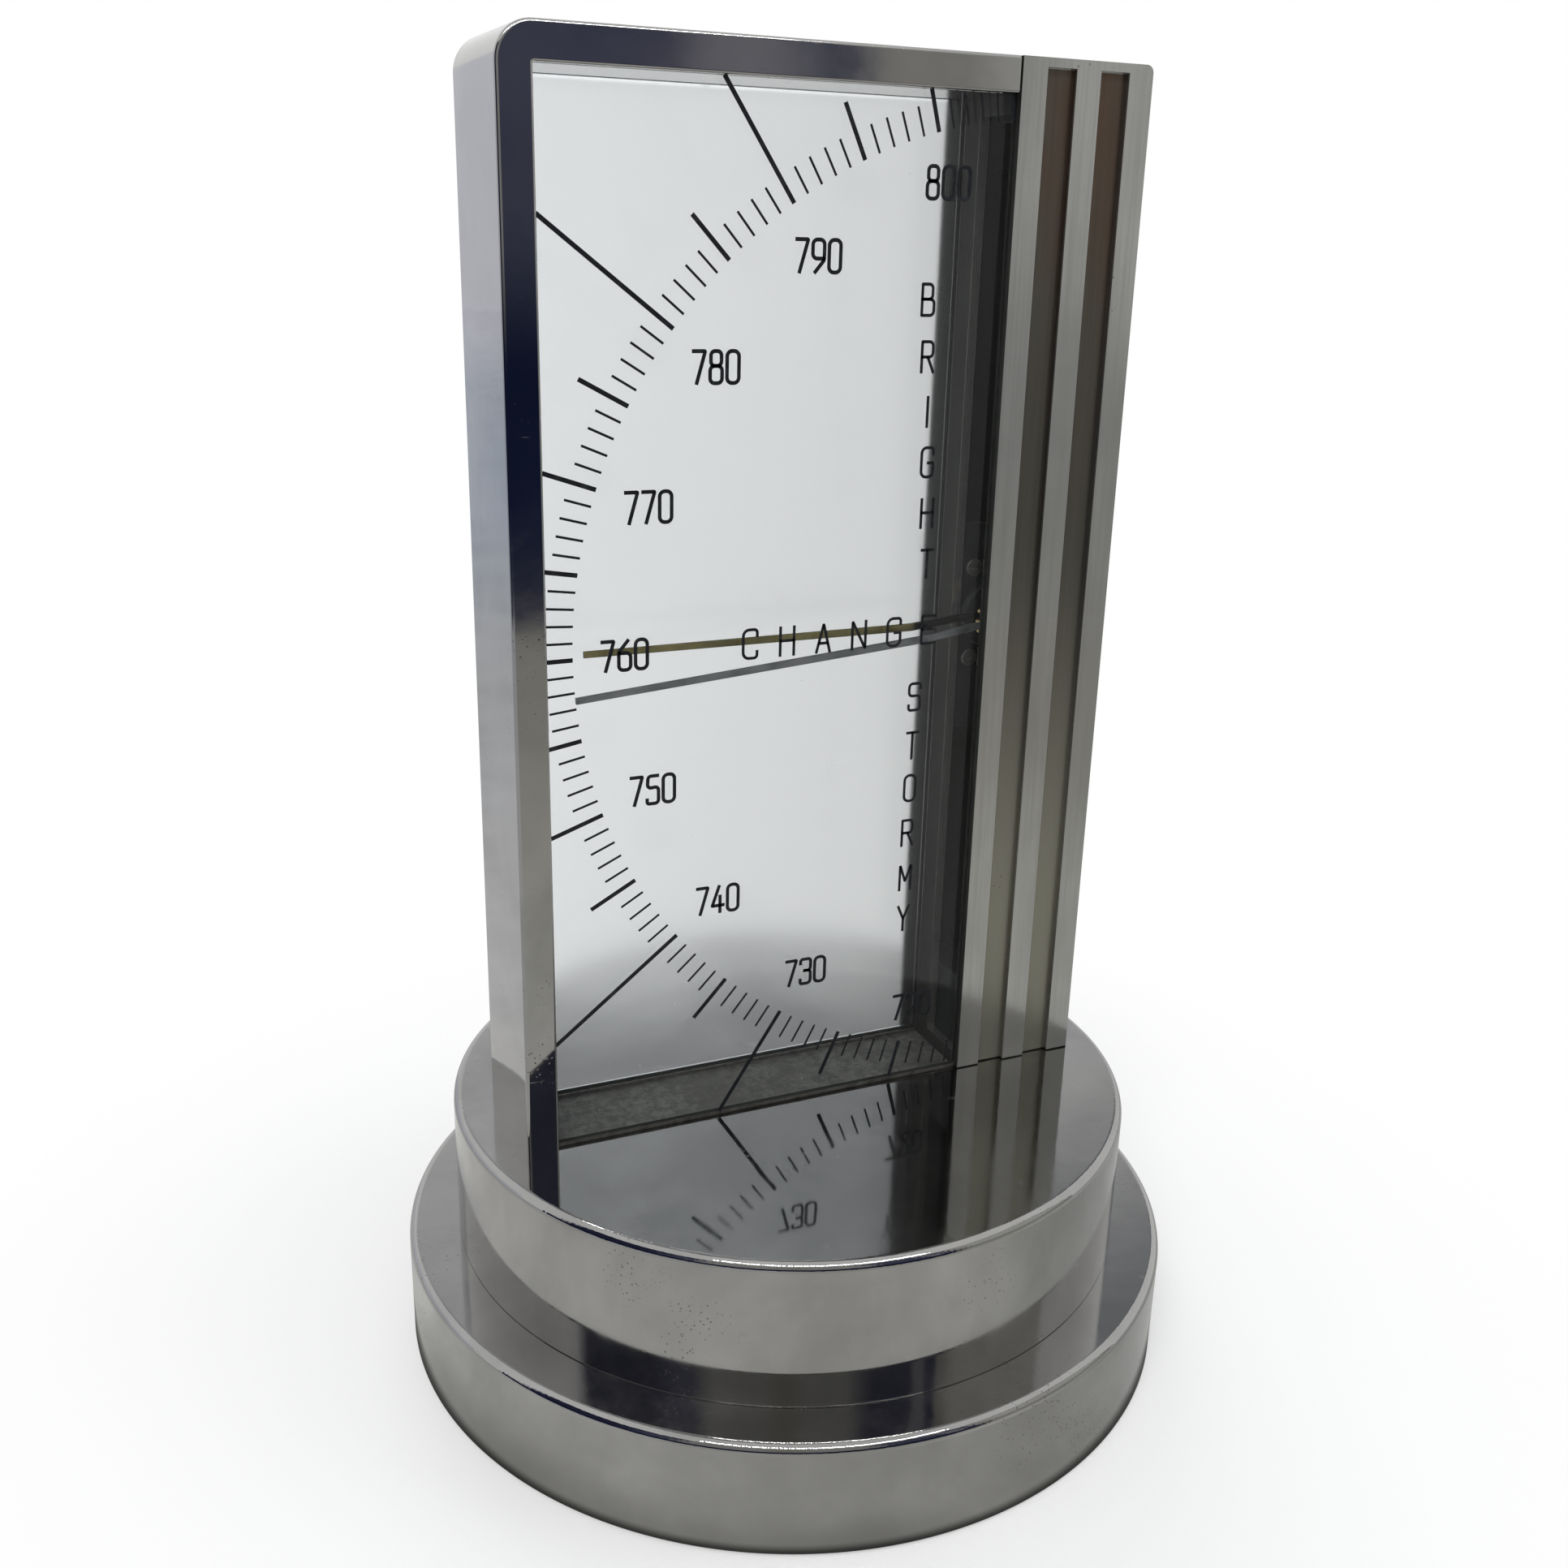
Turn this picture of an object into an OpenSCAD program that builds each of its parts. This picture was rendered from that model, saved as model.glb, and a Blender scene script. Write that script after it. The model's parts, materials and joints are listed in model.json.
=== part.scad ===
// Desk barometer on a round two-tier base. Millimetres, +Z up, the front faces -Y.
// The origin is the centre of the base, on the surface that it stands on.

/* [Base] */
// Radius of the lower tier
tier1_r = 51; // [49:0.5:53]
// Height of the lower tier above the table
tier1_h = 15; // [14:0.5:17]
// Radius of the upper tier
tier2_r = 44.5; // [44:0.25:45.5]
// Height of the upper tier
tier2_h = 19; // [18.5:0.5:22]
// Radius of the polished top edge of each tier
edge_r = 1.1; // [0.6:0.1:1.6]
// Wall of the spun tiers
base_wall = 2; // [1.8:0.1:2.2]
// Height of the lower tier's edge above the table
foot_gap = 0.3; // [0.2:0.1:0.6]
// Thickness of the felt under the base
felt_t = 1.2; // [1:0.1:1.4]
// Thickness of the bottom plate
plate_t = 2; // [1.6:0.1:2.2]

/* [Frame] */
// Distance of the frame's two ends inside the edge of the upper tier
frame_inset = 6; // [5.5:0.1:6.5]
// Height of the frame above the base
frame_h = 126; // [122:1:128]
// Depth of the frame
frame_d = 18; // [17.6:0.1:18.6]
// Thickness of the bent bar
bar_t = 3.9; // [3.7:0.1:4.1]
// Outer radius of the bent corner
corner_r = 3.8; // [3:0.1:4.4]
// Depth of the front pane behind the frame's face
pane_recess = 0.7; // [0.5:0.05:0.8]
// Thickness of the front pane
pane_t = 1.1; // [0.9:0.1:1.2]
// Distance of the frosted pane behind the frame's face
rear_inset = 12.2; // [12:0.1:13]
// Thickness of the frosted pane
rear_t = 2; // [1.6:0.1:2.4]
// Depth of the bar's grooves that hold the panes
groove_d = 1.1; // [0.8:0.1:1.2]
// Thickness of the packing strips under the panes
packing_t = 0.5; // [0.3:0.1:0.8]

/* [Column] */
// Width of the column
col_w = 17.4; // [17.2:0.1:18]
// Thickness of the column's side walls
side_wall = 1.2; // [1:0.05:1.3]
// Thickness of the column's fluted front
front_wall = 1.6; // [1.5:0.05:1.7]
// Thickness of the column's top
cap_t = 1.2; // [1:0.05:1.3]
// Thickness of the back cover
cover_t = 1.2; // [1:0.1:1.4]
// Width of each flute
flute_w = 3.85; // [3.4:0.05:4.2]
// Depth of each flute
flute_d = 0.7; // [0.4:0.05:0.9]
// Plain band above the flutes
flute_top = 1; // [0.6:0.1:2]
// Radius of the column's outer top corner
cap_r = 0.9; // [0.5:0.1:1]
// Seam between the bar's end and the column
seam = 0.3; // [0.2:0.05:0.5]
// Depth of the slot that the hands come out of
slot_d = 7.4; // [7:0.1:7.6]
// Margin between the slot's ends and the frame's opening
slot_margin = 2; // [1.5:0.1:2.4]

/* [Hands] */
// Distance of the hands' axis behind the column's left face
axis_in = 5.2; // [5:0.1:5.4]
// Margin between the indicating hand's tip and the frame's opening
pointer_margin = 5.4; // [5:0.05:8]
// Margin between the set hand's tip and the frame's opening
set_margin = 3.5; // [3.2:0.05:6]
// Width of both hands
hand_w = 0.95; // [0.7:0.05:1.2]
// Thickness of both hands
hand_t = 0.4; // [0.3:0.02:0.44]
// Gap between the front pane and the set hand
hand_gap = 0.3; // [0.25:0.05:0.5]
// Gap between the two hands
hands_apart = 1.9; // [1.5:0.1:2.1]
// Angle of the indicating hand above the horizontal
pointer_deg = -0.2; // [-2:0.1:2]
// Angle of the set hand above the horizontal
set_deg = -4.9; // [-7:0.1:-3]
// Radius of the black collet of the indicating hand
collet_r = 4.3; // [3.6:0.1:4.6]

/* [Movement] */
// Pitch radius of the pinion on the indicating hand's arbor
pinion_r = 1; // [0.9:0.05:1.1]
// Pitch radius of the toothed sector
sector_r = 8; // [7.8:0.1:8.2]
// Teeth of the pinion
pinion_n = 10; // [9:1:12]
// Pitch radius of the set wheel and of the knob's wheel
wheel_r = 3.6; // [3.4:0.1:3.7]
// Teeth of the set wheel and of the knob's wheel
wheel_n = 18; // [16:1:20]
// Length of the sector's tail
tail_l = 4; // [3.8:0.1:4.2]
// Radius of the set knob
knob_r = 5.5; // [4.5:0.1:6.5]
// Length of the set knob
knob_l = 5.6; // [4.5:0.1:8]
// Knurled notches round the set knob
knob_n = 30; // [20:1:36]
// Gap between the aneroid capsule's rim and the spring's bridge
capsule_gap = 2; // [1.5:0.1:4]
// Height of the aneroid capsule
capsule_h = 6; // [5:0.2:7]
// Rings pressed into each half of the capsule
capsule_rings = 4; // [3:1:5]
// Thickness of the mainspring
leaf_t = 0.8; // [0.6:0.05:1]

/* [Hidden] */
$fn = 48;

// Clearance of pieces that are fixed together, of a shaft in its bush, and past a surface in a cut
fit = 0.05;
running = 0.04;
over = 1;

// Frame and column, from the driving sizes
base_h = tier1_h + tier2_h;
top_z = base_h + frame_h;
left_x = frame_inset - tier2_r;
right_x = tier2_r - frame_inset;
front_y = -frame_d / 2;
back_y = frame_d / 2;
col_x = right_x - col_w;
bar_x = left_x + bar_t;
bar_z = top_z - bar_t;
pane_y0 = front_y + pane_recess;
pane_y1 = pane_y0 + pane_t;
rear_y0 = front_y + rear_inset;
rear_y1 = rear_y0 + rear_t;
in_x0 = col_x + side_wall;
in_x1 = right_x - side_wall;
in_y0 = front_y + front_wall;
cover_y = back_y - cover_t;
in_z1 = top_z - cap_t;
ridge_w = (col_w - 2 * flute_w) / 3;
half_h = (bar_z - base_h) / 2;
slot_y1 = in_y0 + slot_d;

// Axis of the hands, A, of the sector, B, and of the set knob, D
a_x = col_x + axis_in;
a_z = base_h + half_h;
mesh_deg = 45;
mesh_l = pinion_r + sector_r;
b_x = a_x + mesh_l * cos(mesh_deg);
b_z = a_z - mesh_l * sin(mesh_deg);
d_x = (col_x + right_x) / 2;
d_dx = d_x - a_x;
d_dz = sqrt(4 * wheel_r * wheel_r - d_dx * d_dx);
d_z = a_z + d_dz;
d_deg = atan2(d_dz, d_dx);

// Planes of the hands and of their hubs, from the front
set_y0 = pane_y1 + hand_gap;
set_y1 = set_y0 + hand_t;
pointer_y0 = set_y1 + hands_apart;
set_hub_y0 = in_y0 + 1.1;
set_root_y = set_hub_y0 + 0.8;
wheel_t = 0.8;
wheel_y1 = set_hub_y0 + 2.4;
wheel_y0 = wheel_y1 - wheel_t;
washer_t = 0.3;
stud_head_t = 0.5;
chassis_back = 1;
layers_deep = 4.4;
arbor_y0 = slot_y1 - 2.2;
collet_y0 = arbor_y0 + 0.45;
collet_y1 = collet_y0 + 1.2;
plate_y0 = slot_y1 + 0.4;
plate_y1 = plate_y0 + 1;
chassis_y1 = cover_y - chassis_back;
chassis_y0 = chassis_y1 - 1;
layer = (chassis_y0 - plate_y1) / layers_deep;
sector_y0 = plate_y1 + 0.9 * layer;
sector_y1 = sector_y0 + 0.8 * layer;
link_y0 = sector_y1 + 0.6 * layer;
link_y1 = link_y0 + 0.8 * layer;
spring_y0 = link_y1 + 0.1 * layer;
spring_y1 = spring_y0 + 0.6 * layer;

// Hands: where each one is cranked, counted from its axis, and their lengths
crank_r0 = 5.4;
set_crank_r1 = 12.5;
pointer_crank_r1 = 13.5;
reach = min(half_h, a_x - bar_x);
pointer_l = reach - pointer_margin;
set_l = reach - set_margin;
arbor_r = 0.6;
stud_r = 0.8;
boss_r = 1.9;
set_hub_r = 1.6;
shaft_r = 1;

// Movement plates: their ends and where the pillars stand, counted from the axis of the hands
plate_down = 15.5;
plate_up = 11.5;
pillar_r = 1.2;
pillar_left = in_x0 + 1.9;
pillar_right = in_x1 - 1.7;
pillar_near = 5.9;
pillar_up = 9;
pillar_down = 13;
pillar_xz = [
    [pillar_left, a_z + pillar_near],
    [pillar_left, a_z - pillar_near],
    [pillar_right, a_z + pillar_up],
    [pillar_right, a_z - pillar_down]
];
small_screw_r = 0.6;
bush_r = 1.4;
block_fit = 0.06;
foot_top = base_h + 12;
foot_step = base_h + 6;
head_z0 = top_z - 5.4;
head_tab_z = head_z0 - 1.2;
head_tab_y = in_y0 + 4.7;
head_lug_z = head_z0 - 6;
head_lug_y = chassis_y0 - 2.8;

// Screws: radius and height of each kind's head, length of its thread and run-out of its hole
bottom_head = [2.8, 0.9];
bar_head = [2.1, 1.6];
foot_head = [2.4, 1.8];
cover_head = [1.9, 0.9];
chassis_head = [1.7, 0.8];
clamp_head = [1.5, 1];
plate_head = [1.1, 0.45];
bar_thread = 8;
foot_thread = 7;
cover_thread = 4;
chassis_thread = 3;
clamp_thread = 3;
plate_thread = 1.4;
run_out = 1;
m3_r = 1.45;
m3_hole = 1.5;
m3_clear = 1.65;
m2_r = 0.95;
m2_hole = 1;
m2_clear = 1.1;
bar_screw_r = 1.15;
bar_pin_y = [-4.2, 0.6];
pin_r = 0.7;
pin_l = 6;
pin_z = in_z1 - 1.2;

// Movement in the base: rod, lever, bridge, capsule
rod_x = b_x - tail_l;
rod_y = (link_y0 + link_y1) / 2;
stud_flange_r = 4;
stud_rod_r = 1.6;
stud_collar_r = 3.2;
rod_r = 0.5;
eye_r = 1.4;
eye_bore = 0.75;
tail_pin_r = 0.6;
rod_clear = 1.7;
rod_gap = 0.4;
lever_x = left_x + 5;
lever_z = base_h - 8;
lever_w = 3;
lever_t = 1.6;
lever_pin_r = 0.6;
lever_shaft_r = 1;
plate_z1 = felt_t + plate_t;
bridge_x0 = lever_x - 3.5;
bridge_x1 = bridge_x0 + 11;
capsule_r = -bridge_x1 - capsule_gap;
bridge_w = 16;
ear_x0 = lever_x - 2.5;
ear_x1 = lever_x + 2.5;
ear_in = lever_w / 2 + 0.3;
ear_out = ear_in + 2.4;
ear_top = lever_z + 2.5;
zero_screw_r = 2;
seat_h = 3;
seat_r = 5;
capsule_z0 = plate_z1 + seat_h;
capsule_z1 = capsule_z0 + capsule_h;
skin_t = 0.4;
rib_h = 0.7;
leaf_z0 = lever_z - 8.1;
leaf_z1 = leaf_z0 + leaf_t;
leaf_w = 14;
leaf_end = 5;
leaf_bore = 2.2;
stud_gap = 0.1;
stud_top = lever_z - lever_t / 2 - stud_gap;
clamp_t = 2;
clamp_x = bridge_x1 - 2.4;
clamp_y = leaf_w / 2 - clamp_head[0];
post_r = 3.2;
post_circle = tier2_r - base_wall - post_r - 2.3;
post_thread = 8;
plate_lip = 0.6;
block_screw_x = in_x1 - 3;
chassis_screw_z = [foot_step + 3, head_lug_z + 3];
foot_screw_y = -3.5;
foot_screw_x = [in_x0 + 3, block_screw_x];
cover_screw_xz = [[block_screw_x, base_h + 3], [in_x0 + 3, in_z1 - 2.2]];
spigot_t = 0.9;
spigot_h = 1.2;

module box(x0, x1, y0, y1, z0, z1) {
    translate([x0, y0, z0]) cube([x1 - x0, y1 - y0, z1 - z0]);
}

module rod_along_x(y, z, r, x0, x1) {
    translate([x0, y, z]) rotate([0, 90, 0]) cylinder(r = r, h = x1 - x0);
}

module rod_along_y(x, z, r, y0, y1) {
    translate([x, y1, z]) rotate([90, 0, 0]) cylinder(r = r, h = y1 - y0);
}

module rod_along_z(x, y, r, z0, z1) {
    translate([x, y, z0]) cylinder(r = r, h = z1 - z0);
}

// An outline in X and Z, thickened along Y
module plate_along_y(y0, y1) {
    translate([0, y1, 0]) rotate([90, 0, 0]) linear_extrude(y1 - y0) children();
}

// A slotted cheese-head screw along +Z, its head under z = 0
module screw(head, shank_r, shank_l) {
    head_r = head[0];
    head_h = head[1];
    slot_w = head_r * 0.35;
    difference() {
        translate([0, 0, -head_h]) cylinder(r = head_r, h = head_h);
        translate([-head_r - over, -slot_w / 2, -head_h - over])
            cube([2 * head_r + 2 * over, slot_w, over + head_h * 0.45]);
    }
    cylinder(r = shank_r, h = shank_l);
}

// A drum with a rounded top edge
module rounded_drum(r, h, edge) {
    cylinder(r = r, h = h - edge, $fn = 96);
    cylinder(r = r - edge, h = h, $fn = 96);
    translate([0, 0, h - edge]) rotate_extrude($fn = 96) translate([r - edge, 0]) circle(r = edge, $fn = 32);
}

// Involute gear outline: pitch radius rp, n teeth, the tooth at angle a
tooth_add = 0.75;
tooth_ded = 1.15;
tooth_lash = 0.12;
pressure_deg = 20;
function inv(a) = tan(a) * 180 / PI - a;
function half_tooth(rp, n, r) = let (
    rb = rp * cos(pressure_deg),
    lash_deg = tooth_lash / 2 * (2 * rp / n) / rp * 180 / PI)
    90 / n - lash_deg + inv(pressure_deg) - inv(r > rb ? acos(rb / r) : 0);
function polar(r, a) = [r * cos(a), r * sin(a)];
function tooth(rp, n, a) = let (
    m = 2 * rp / n,
    rr = rp - tooth_ded * m,
    rs = [rr, max(rp * cos(pressure_deg), rr + 0.02 * m), rp, rp + tooth_add * m])
    concat(
        [for (r = rs) polar(r, a - half_tooth(rp, n, r))],
        [for (i = [3:-1:0]) polar(rs[i], a + half_tooth(rp, n, rs[i]))]);
function gear(rp, n, a) = [for (i = [0:n - 1]) each tooth(rp, n, a + i * 360 / n)];

module felt_pad() {
    color("#2f3d33")
    difference() {
        cylinder(r = tier1_r - base_wall - 0.1, h = felt_t, $fn = 96);
        for (p = screw_places()) rod_along_z(p[0], p[1], bottom_head[0] + 0.6, -over, felt_t + over);
        rod_along_z(0, 0, zero_screw_r + 1, -over, felt_t + over);
    }
}

function post_places() = [for (a = [90, 210, 330]) polar(post_circle, a)];
function bridge_screw_places() = [for (s = [-1, 1]) [(bridge_x0 + bridge_x1) / 2, s * bridge_w * 5 / 16]];
function screw_places() = concat(post_places(), bridge_screw_places());

module bottom_plate() {
    color("#8c8f91")
    difference() {
        rod_along_z(0, 0, tier1_r - base_wall + plate_lip, felt_t, plate_z1, $fn = 96);
        for (p = screw_places()) rod_along_z(p[0], p[1], m3_clear, 0, plate_z1 + over);
        rod_along_z(0, 0, zero_screw_r + 0.3, 0, plate_z1 + over);
    }
}

module bottom_screws() {
    color("#b9b6a8")
    for (p = screw_places()) translate([p[0], p[1], felt_t]) screw(bottom_head, m3_r, plate_t + post_thread);
}

module base_ring() {
    color("#c9cdcf")
    difference() {
        translate([0, 0, foot_gap]) rounded_drum(tier1_r, tier1_h - foot_gap, edge_r);
        rod_along_z(0, 0, tier1_r - base_wall, 0, tier1_h - base_wall, $fn = 96);
        rod_along_z(0, 0, tier1_r - base_wall + plate_lip + fit, 0, plate_z1, $fn = 96);
        rod_along_z(0, 0, tier2_r - base_wall + spigot_t + fit, 0, tier1_h + over, $fn = 96);
    }
}

module base_drum() {
    color("#c9cdcf")
    difference() {
        union() {
            translate([0, 0, tier1_h]) rounded_drum(tier2_r, tier2_h, edge_r);
            rod_along_z(0, 0, tier2_r - base_wall + spigot_t, tier1_h - spigot_h, tier1_h + fit, $fn = 96);
        }
        rod_along_z(0, 0, tier2_r - base_wall, 0, base_h - base_wall, $fn = 96);
        for (y = bar_pin_y) rod_along_z(left_x + bar_t / 2, y, bar_screw_r + 0.15, 0, base_h + over);
        for (x = foot_screw_x) rod_along_z(x, foot_screw_y, m3_clear, 0, base_h + over);
        rod_along_z(rod_x, rod_y, rod_clear, 0, base_h + over);
    }
}

module base_pillars() {
    color("#b8a15e")
    for (p = post_places()) {
        difference() {
            rod_along_z(p[0], p[1], post_r, plate_z1, base_h - base_wall);
            rod_along_z(p[0], p[1], m3_hole, 0, plate_z1 + post_thread + run_out);
        }
    }
}

bar_end = col_x - seam;

// The bar from the front: down the left side and along the top, with its corner bent round
module bar_outline() {
    difference() {
        translate([left_x, base_h]) square([bar_end - left_x, frame_h]);
        translate([bar_x, base_h - over]) square([bar_end - bar_x + over, bar_z - base_h + over]);
        difference() {
            translate([left_x - over, top_z - corner_r]) square(corner_r + over);
            translate([left_x + corner_r, top_z - corner_r]) circle(r = corner_r);
        }
    }
}

module frame_bar() {
    color("#c4c8cb")
    difference() {
        plate_along_y(front_y, back_y) bar_outline();
        pane_groove(pane_y0 - fit, pane_y1 + fit);
        pane_groove(rear_y0 - fit, rear_y1 + fit);
        for (y = bar_pin_y) {
            rod_along_z(left_x + bar_t / 2, y, bar_screw_r + fit, base_h - over, base_h + bar_thread + run_out);
            rod_along_x(y, pin_z, pin_r + fit, bar_end - pin_l, bar_end + over);
        }
    }
}

module pane_groove(y0, y1) {
    box(bar_x - groove_d, bar_x + over, y0, y1, base_h - over, bar_z + groove_d);
    box(bar_x - groove_d, right_x, y0, y1, bar_z - over, bar_z + groove_d);
}

module bar_screws() {
    color("#b9b6a8")
    for (y = bar_pin_y) {
        translate([left_x + bar_t / 2, y, base_h - base_wall])
            screw(bar_head, bar_screw_r, base_wall + bar_thread);
    }
}

module pane(y0, y1) {
    x0 = bar_x - groove_d + 2 * fit;
    box(x0, col_x - fit, y0, y1, base_h + packing_t, bar_z + groove_d - 2 * fit);
}

module front_pane() {
    color("#dfe9ea", 0.35) pane(pane_y0, pane_y1);
}

module rear_pane() {
    color("#e9eceb", 0.8) pane(rear_y0, rear_y1);
}

module pane_packing() {
    color("#2c2b28") {
        box(bar_x + fit, col_x - fit, pane_y0, pane_y1, base_h, base_h + packing_t);
        box(bar_x + fit, col_x - fit, rear_y0, rear_y1, base_h, base_h + packing_t);
    }
}

module column() {
    color("#b9bcb8")
    difference() {
        union() {
            box(col_x, right_x, front_y, back_y, base_h, top_z - cap_r);
            box(col_x, right_x - cap_r, front_y, back_y, base_h, top_z);
            rod_along_y(right_x - cap_r, top_z - cap_r, cap_r, front_y, back_y);
        }
        box(in_x0, in_x1, in_y0, back_y + over, base_h - over, in_z1);
        for (i = [0:1]) {
            flute_x = col_x + ridge_w + i * (ridge_w + flute_w);
            box(flute_x, flute_x + flute_w, front_y - over, front_y + flute_d, base_h - over, top_z - flute_top);
        }
        box(col_x - over, in_x0 + over, in_y0, slot_y1, base_h + slot_margin, bar_z - slot_margin);
        for (y = bar_pin_y) rod_along_x(y, pin_z, pin_r + fit, col_x - over, in_x0 + over);
        rod_along_y(a_x, a_z, stud_r + fit, in_y0 - 0.6, in_y0 + over);
    }
}

module column_cover() {
    color("#a9aca9")
    difference() {
        box(in_x0 + block_fit, in_x1 - block_fit, cover_y, back_y, base_h + fit, in_z1 - fit);
        for (p = cover_screw_xz) rod_along_y(p[0], p[1], m2_clear, cover_y - over, back_y + over);
        rod_along_y(d_x, d_z, shaft_r + 0.4, cover_y - over, back_y + over);
    }
}

module cover_screws() {
    color("#b9b6a8")
    for (p = cover_screw_xz)
        translate([p[0], back_y, p[1]]) rotate([90, 0, 0]) screw(cover_head, m2_r, cover_t + cover_thread);
}

module foot_block() {
    color("#3a3a3c")
    difference() {
        union() {
            box(in_x0 + block_fit, in_x1 - block_fit, in_y0 + block_fit, cover_y - fit, base_h, foot_step - fit);
            box(in_x0 + block_fit, in_x1 - block_fit, in_y0 + block_fit, chassis_y0, base_h, foot_top);
        }
        for (x = foot_screw_x) rod_along_z(x, foot_screw_y, m3_hole, base_h - over, base_h + foot_thread + run_out);
        box(rod_x - rod_clear, rod_x + rod_clear,
            link_y0 - rod_gap, back_y, base_h - over, foot_top + over);
        rod_along_y(cover_screw_xz[0][0], cover_screw_xz[0][1], m2_hole,
            cover_y - cover_thread - run_out, back_y);
        rod_along_y(block_screw_x, chassis_screw_z[0], m2_hole,
            chassis_y0 - chassis_thread - run_out, back_y);
    }
}

module foot_screws() {
    color("#b9b6a8")
    for (x = foot_screw_x) {
        translate([x, foot_screw_y, base_h - base_wall]) screw(foot_head, m3_r, base_wall + foot_thread);
    }
}

module head_block() {
    color("#3a3a3c")
    difference() {
        union() {
            box(in_x0 + block_fit, in_x1 - block_fit, in_y0 + block_fit, cover_y - fit, head_z0, in_z1 - fit);
            box(in_x0 + block_fit, in_x1 - block_fit,
                in_y0 + block_fit, head_tab_y, head_tab_z, head_z0 + over);
            box(in_x0 + block_fit, in_x1 - block_fit, head_lug_y, chassis_y0, head_lug_z, head_z0 + over);
        }
        for (y = bar_pin_y) rod_along_x(y, pin_z, pin_r + fit, in_x0 - over, in_x0 + pin_l);
        rod_along_y(cover_screw_xz[1][0], cover_screw_xz[1][1], m2_hole,
            cover_y - cover_thread - run_out, back_y);
        rod_along_y(block_screw_x, chassis_screw_z[1], m2_hole, head_lug_y - over, back_y);
    }
}

module corner_pins() {
    color("#b9b6a8")
    for (y = bar_pin_y) rod_along_x(y, pin_z, pin_r, bar_end - pin_l + 0.5, in_x0 + pin_l - 0.5);
}

module chassis_plate() {
    color("#35363a")
    difference() {
        box(in_x0 + 0.3, in_x1 - 0.3, chassis_y0, chassis_y1, foot_step, head_z0 - fit);
        for (z = chassis_screw_z) rod_along_y(block_screw_x, z, m2_clear, chassis_y0 - over, chassis_y1 + over);
        for (p = pillar_xz) rod_along_y(p[0], p[1], small_screw_r + 0.1, chassis_y0 - over, chassis_y1 + over);
        for (p = [[a_x, a_z], [b_x, b_z]])
            rod_along_y(p[0], p[1], bush_r + fit, chassis_y0 - over, chassis_y1 + over);
        rod_along_y(d_x, d_z, shaft_r + running, chassis_y0 - over, chassis_y1 + over);
        rod_along_y(a_x, a_z + spiral_r, spring_stud_r + fit, chassis_y0 - over, chassis_y1 + over);
    }
}

module chassis_screws() {
    color("#b9b6a8")
    for (z = chassis_screw_z) translate([block_screw_x, chassis_y1, z]) rotate([90, 0, 0])
        screw(chassis_head, m2_r, chassis_y1 - chassis_y0 + chassis_thread);
}

module front_plate() {
    color("#35363a")
    difference() {
        box(in_x0 + 0.3, in_x1 - 0.3, plate_y0, plate_y1, a_z - plate_down, a_z + plate_up);
        for (p = pillar_xz) rod_along_y(p[0], p[1], small_screw_r + 0.1, plate_y0 - over, plate_y1 + over);
        for (p = [[a_x, a_z], [b_x, b_z]]) rod_along_y(p[0], p[1], bush_r + fit, plate_y0 - over, plate_y1 + over);
        rod_along_y(d_x, d_z, shaft_r + running, plate_y0 - over, plate_y1 + over);
    }
}

module plate_pillars() {
    color("#b8a15e")
    for (p = pillar_xz) {
        difference() {
            rod_along_y(p[0], p[1], pillar_r, plate_y1, chassis_y0);
            rod_along_y(p[0], p[1], small_screw_r + fit, plate_y1 - over, plate_y1 + plate_thread + 0.3);
            rod_along_y(p[0], p[1], small_screw_r + fit, chassis_y0 - plate_thread - 0.3, chassis_y0 + over);
        }
    }
}

module plate_screws() {
    color("#8f8a78")
    for (p = pillar_xz) {
        translate([p[0], plate_y0, p[1]]) rotate([-90, 0, 0])
            screw(plate_head, small_screw_r, plate_y1 - plate_y0 + plate_thread);
        translate([p[0], chassis_y1, p[1]]) rotate([90, 0, 0])
            screw(plate_head, small_screw_r, plate_y1 - plate_y0 + plate_thread);
    }
}

module bush(x, z, y0, y1) {
    difference() {
        rod_along_y(x, z, bush_r, y0, y1);
        rod_along_y(x, z, arbor_r + running, y0 - over, y1 + over);
    }
}

module bushes() {
    color("#c8a850")
    for (p = [[a_x, a_z], [b_x, b_z]]) {
        bush(p[0], p[1], plate_y0, plate_y1 + 0.2);
        bush(p[0], p[1], chassis_y0 - 0.1, chassis_y1);
    }
}

module pointer_arbor() {
    color("#9fa3a6") {
        rod_along_y(a_x, a_z, arbor_r, arbor_y0, chassis_y1 - 0.1);
        plate_along_y(sector_y0 - 0.1, sector_y1 + 0.1)
            translate([a_x, a_z]) polygon(gear(pinion_r, pinion_n, -mesh_deg + 180 / pinion_n));
        rod_along_y(a_x, a_z, spiral_r0 - 0.1, spring_y0 - 0.1, spring_y1);
    }
}

module pointer_collet() {
    color("#1d1d1e")
    difference() {
        rod_along_y(a_x, a_z, collet_r, collet_y0, collet_y1);
        rod_along_y(a_x, a_z, arbor_r + 0.02, collet_y0 - over, collet_y1 + over);
    }
}

// A hand that points along -X from its axis: root at root_y, cranked forward to y0, then straight
module hand(root_y, y0, crank_r1, l, ring_r, bore_r) {
    start = ring_r - 0.4;
    linear_extrude(hand_w, center = true) polygon([
        [-start, root_y],
        [-crank_r0, root_y],
        [-crank_r1, y0],
        [-l, y0],
        [-l, y0 + hand_t],
        [-crank_r1, y0 + hand_t],
        [-crank_r0, root_y + hand_t],
        [-start, root_y + hand_t]]);
    difference() {
        rod_along_y(0, 0, ring_r, root_y, root_y + hand_t);
        rod_along_y(0, 0, bore_r, root_y - over, root_y + hand_t + over);
    }
}

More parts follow.
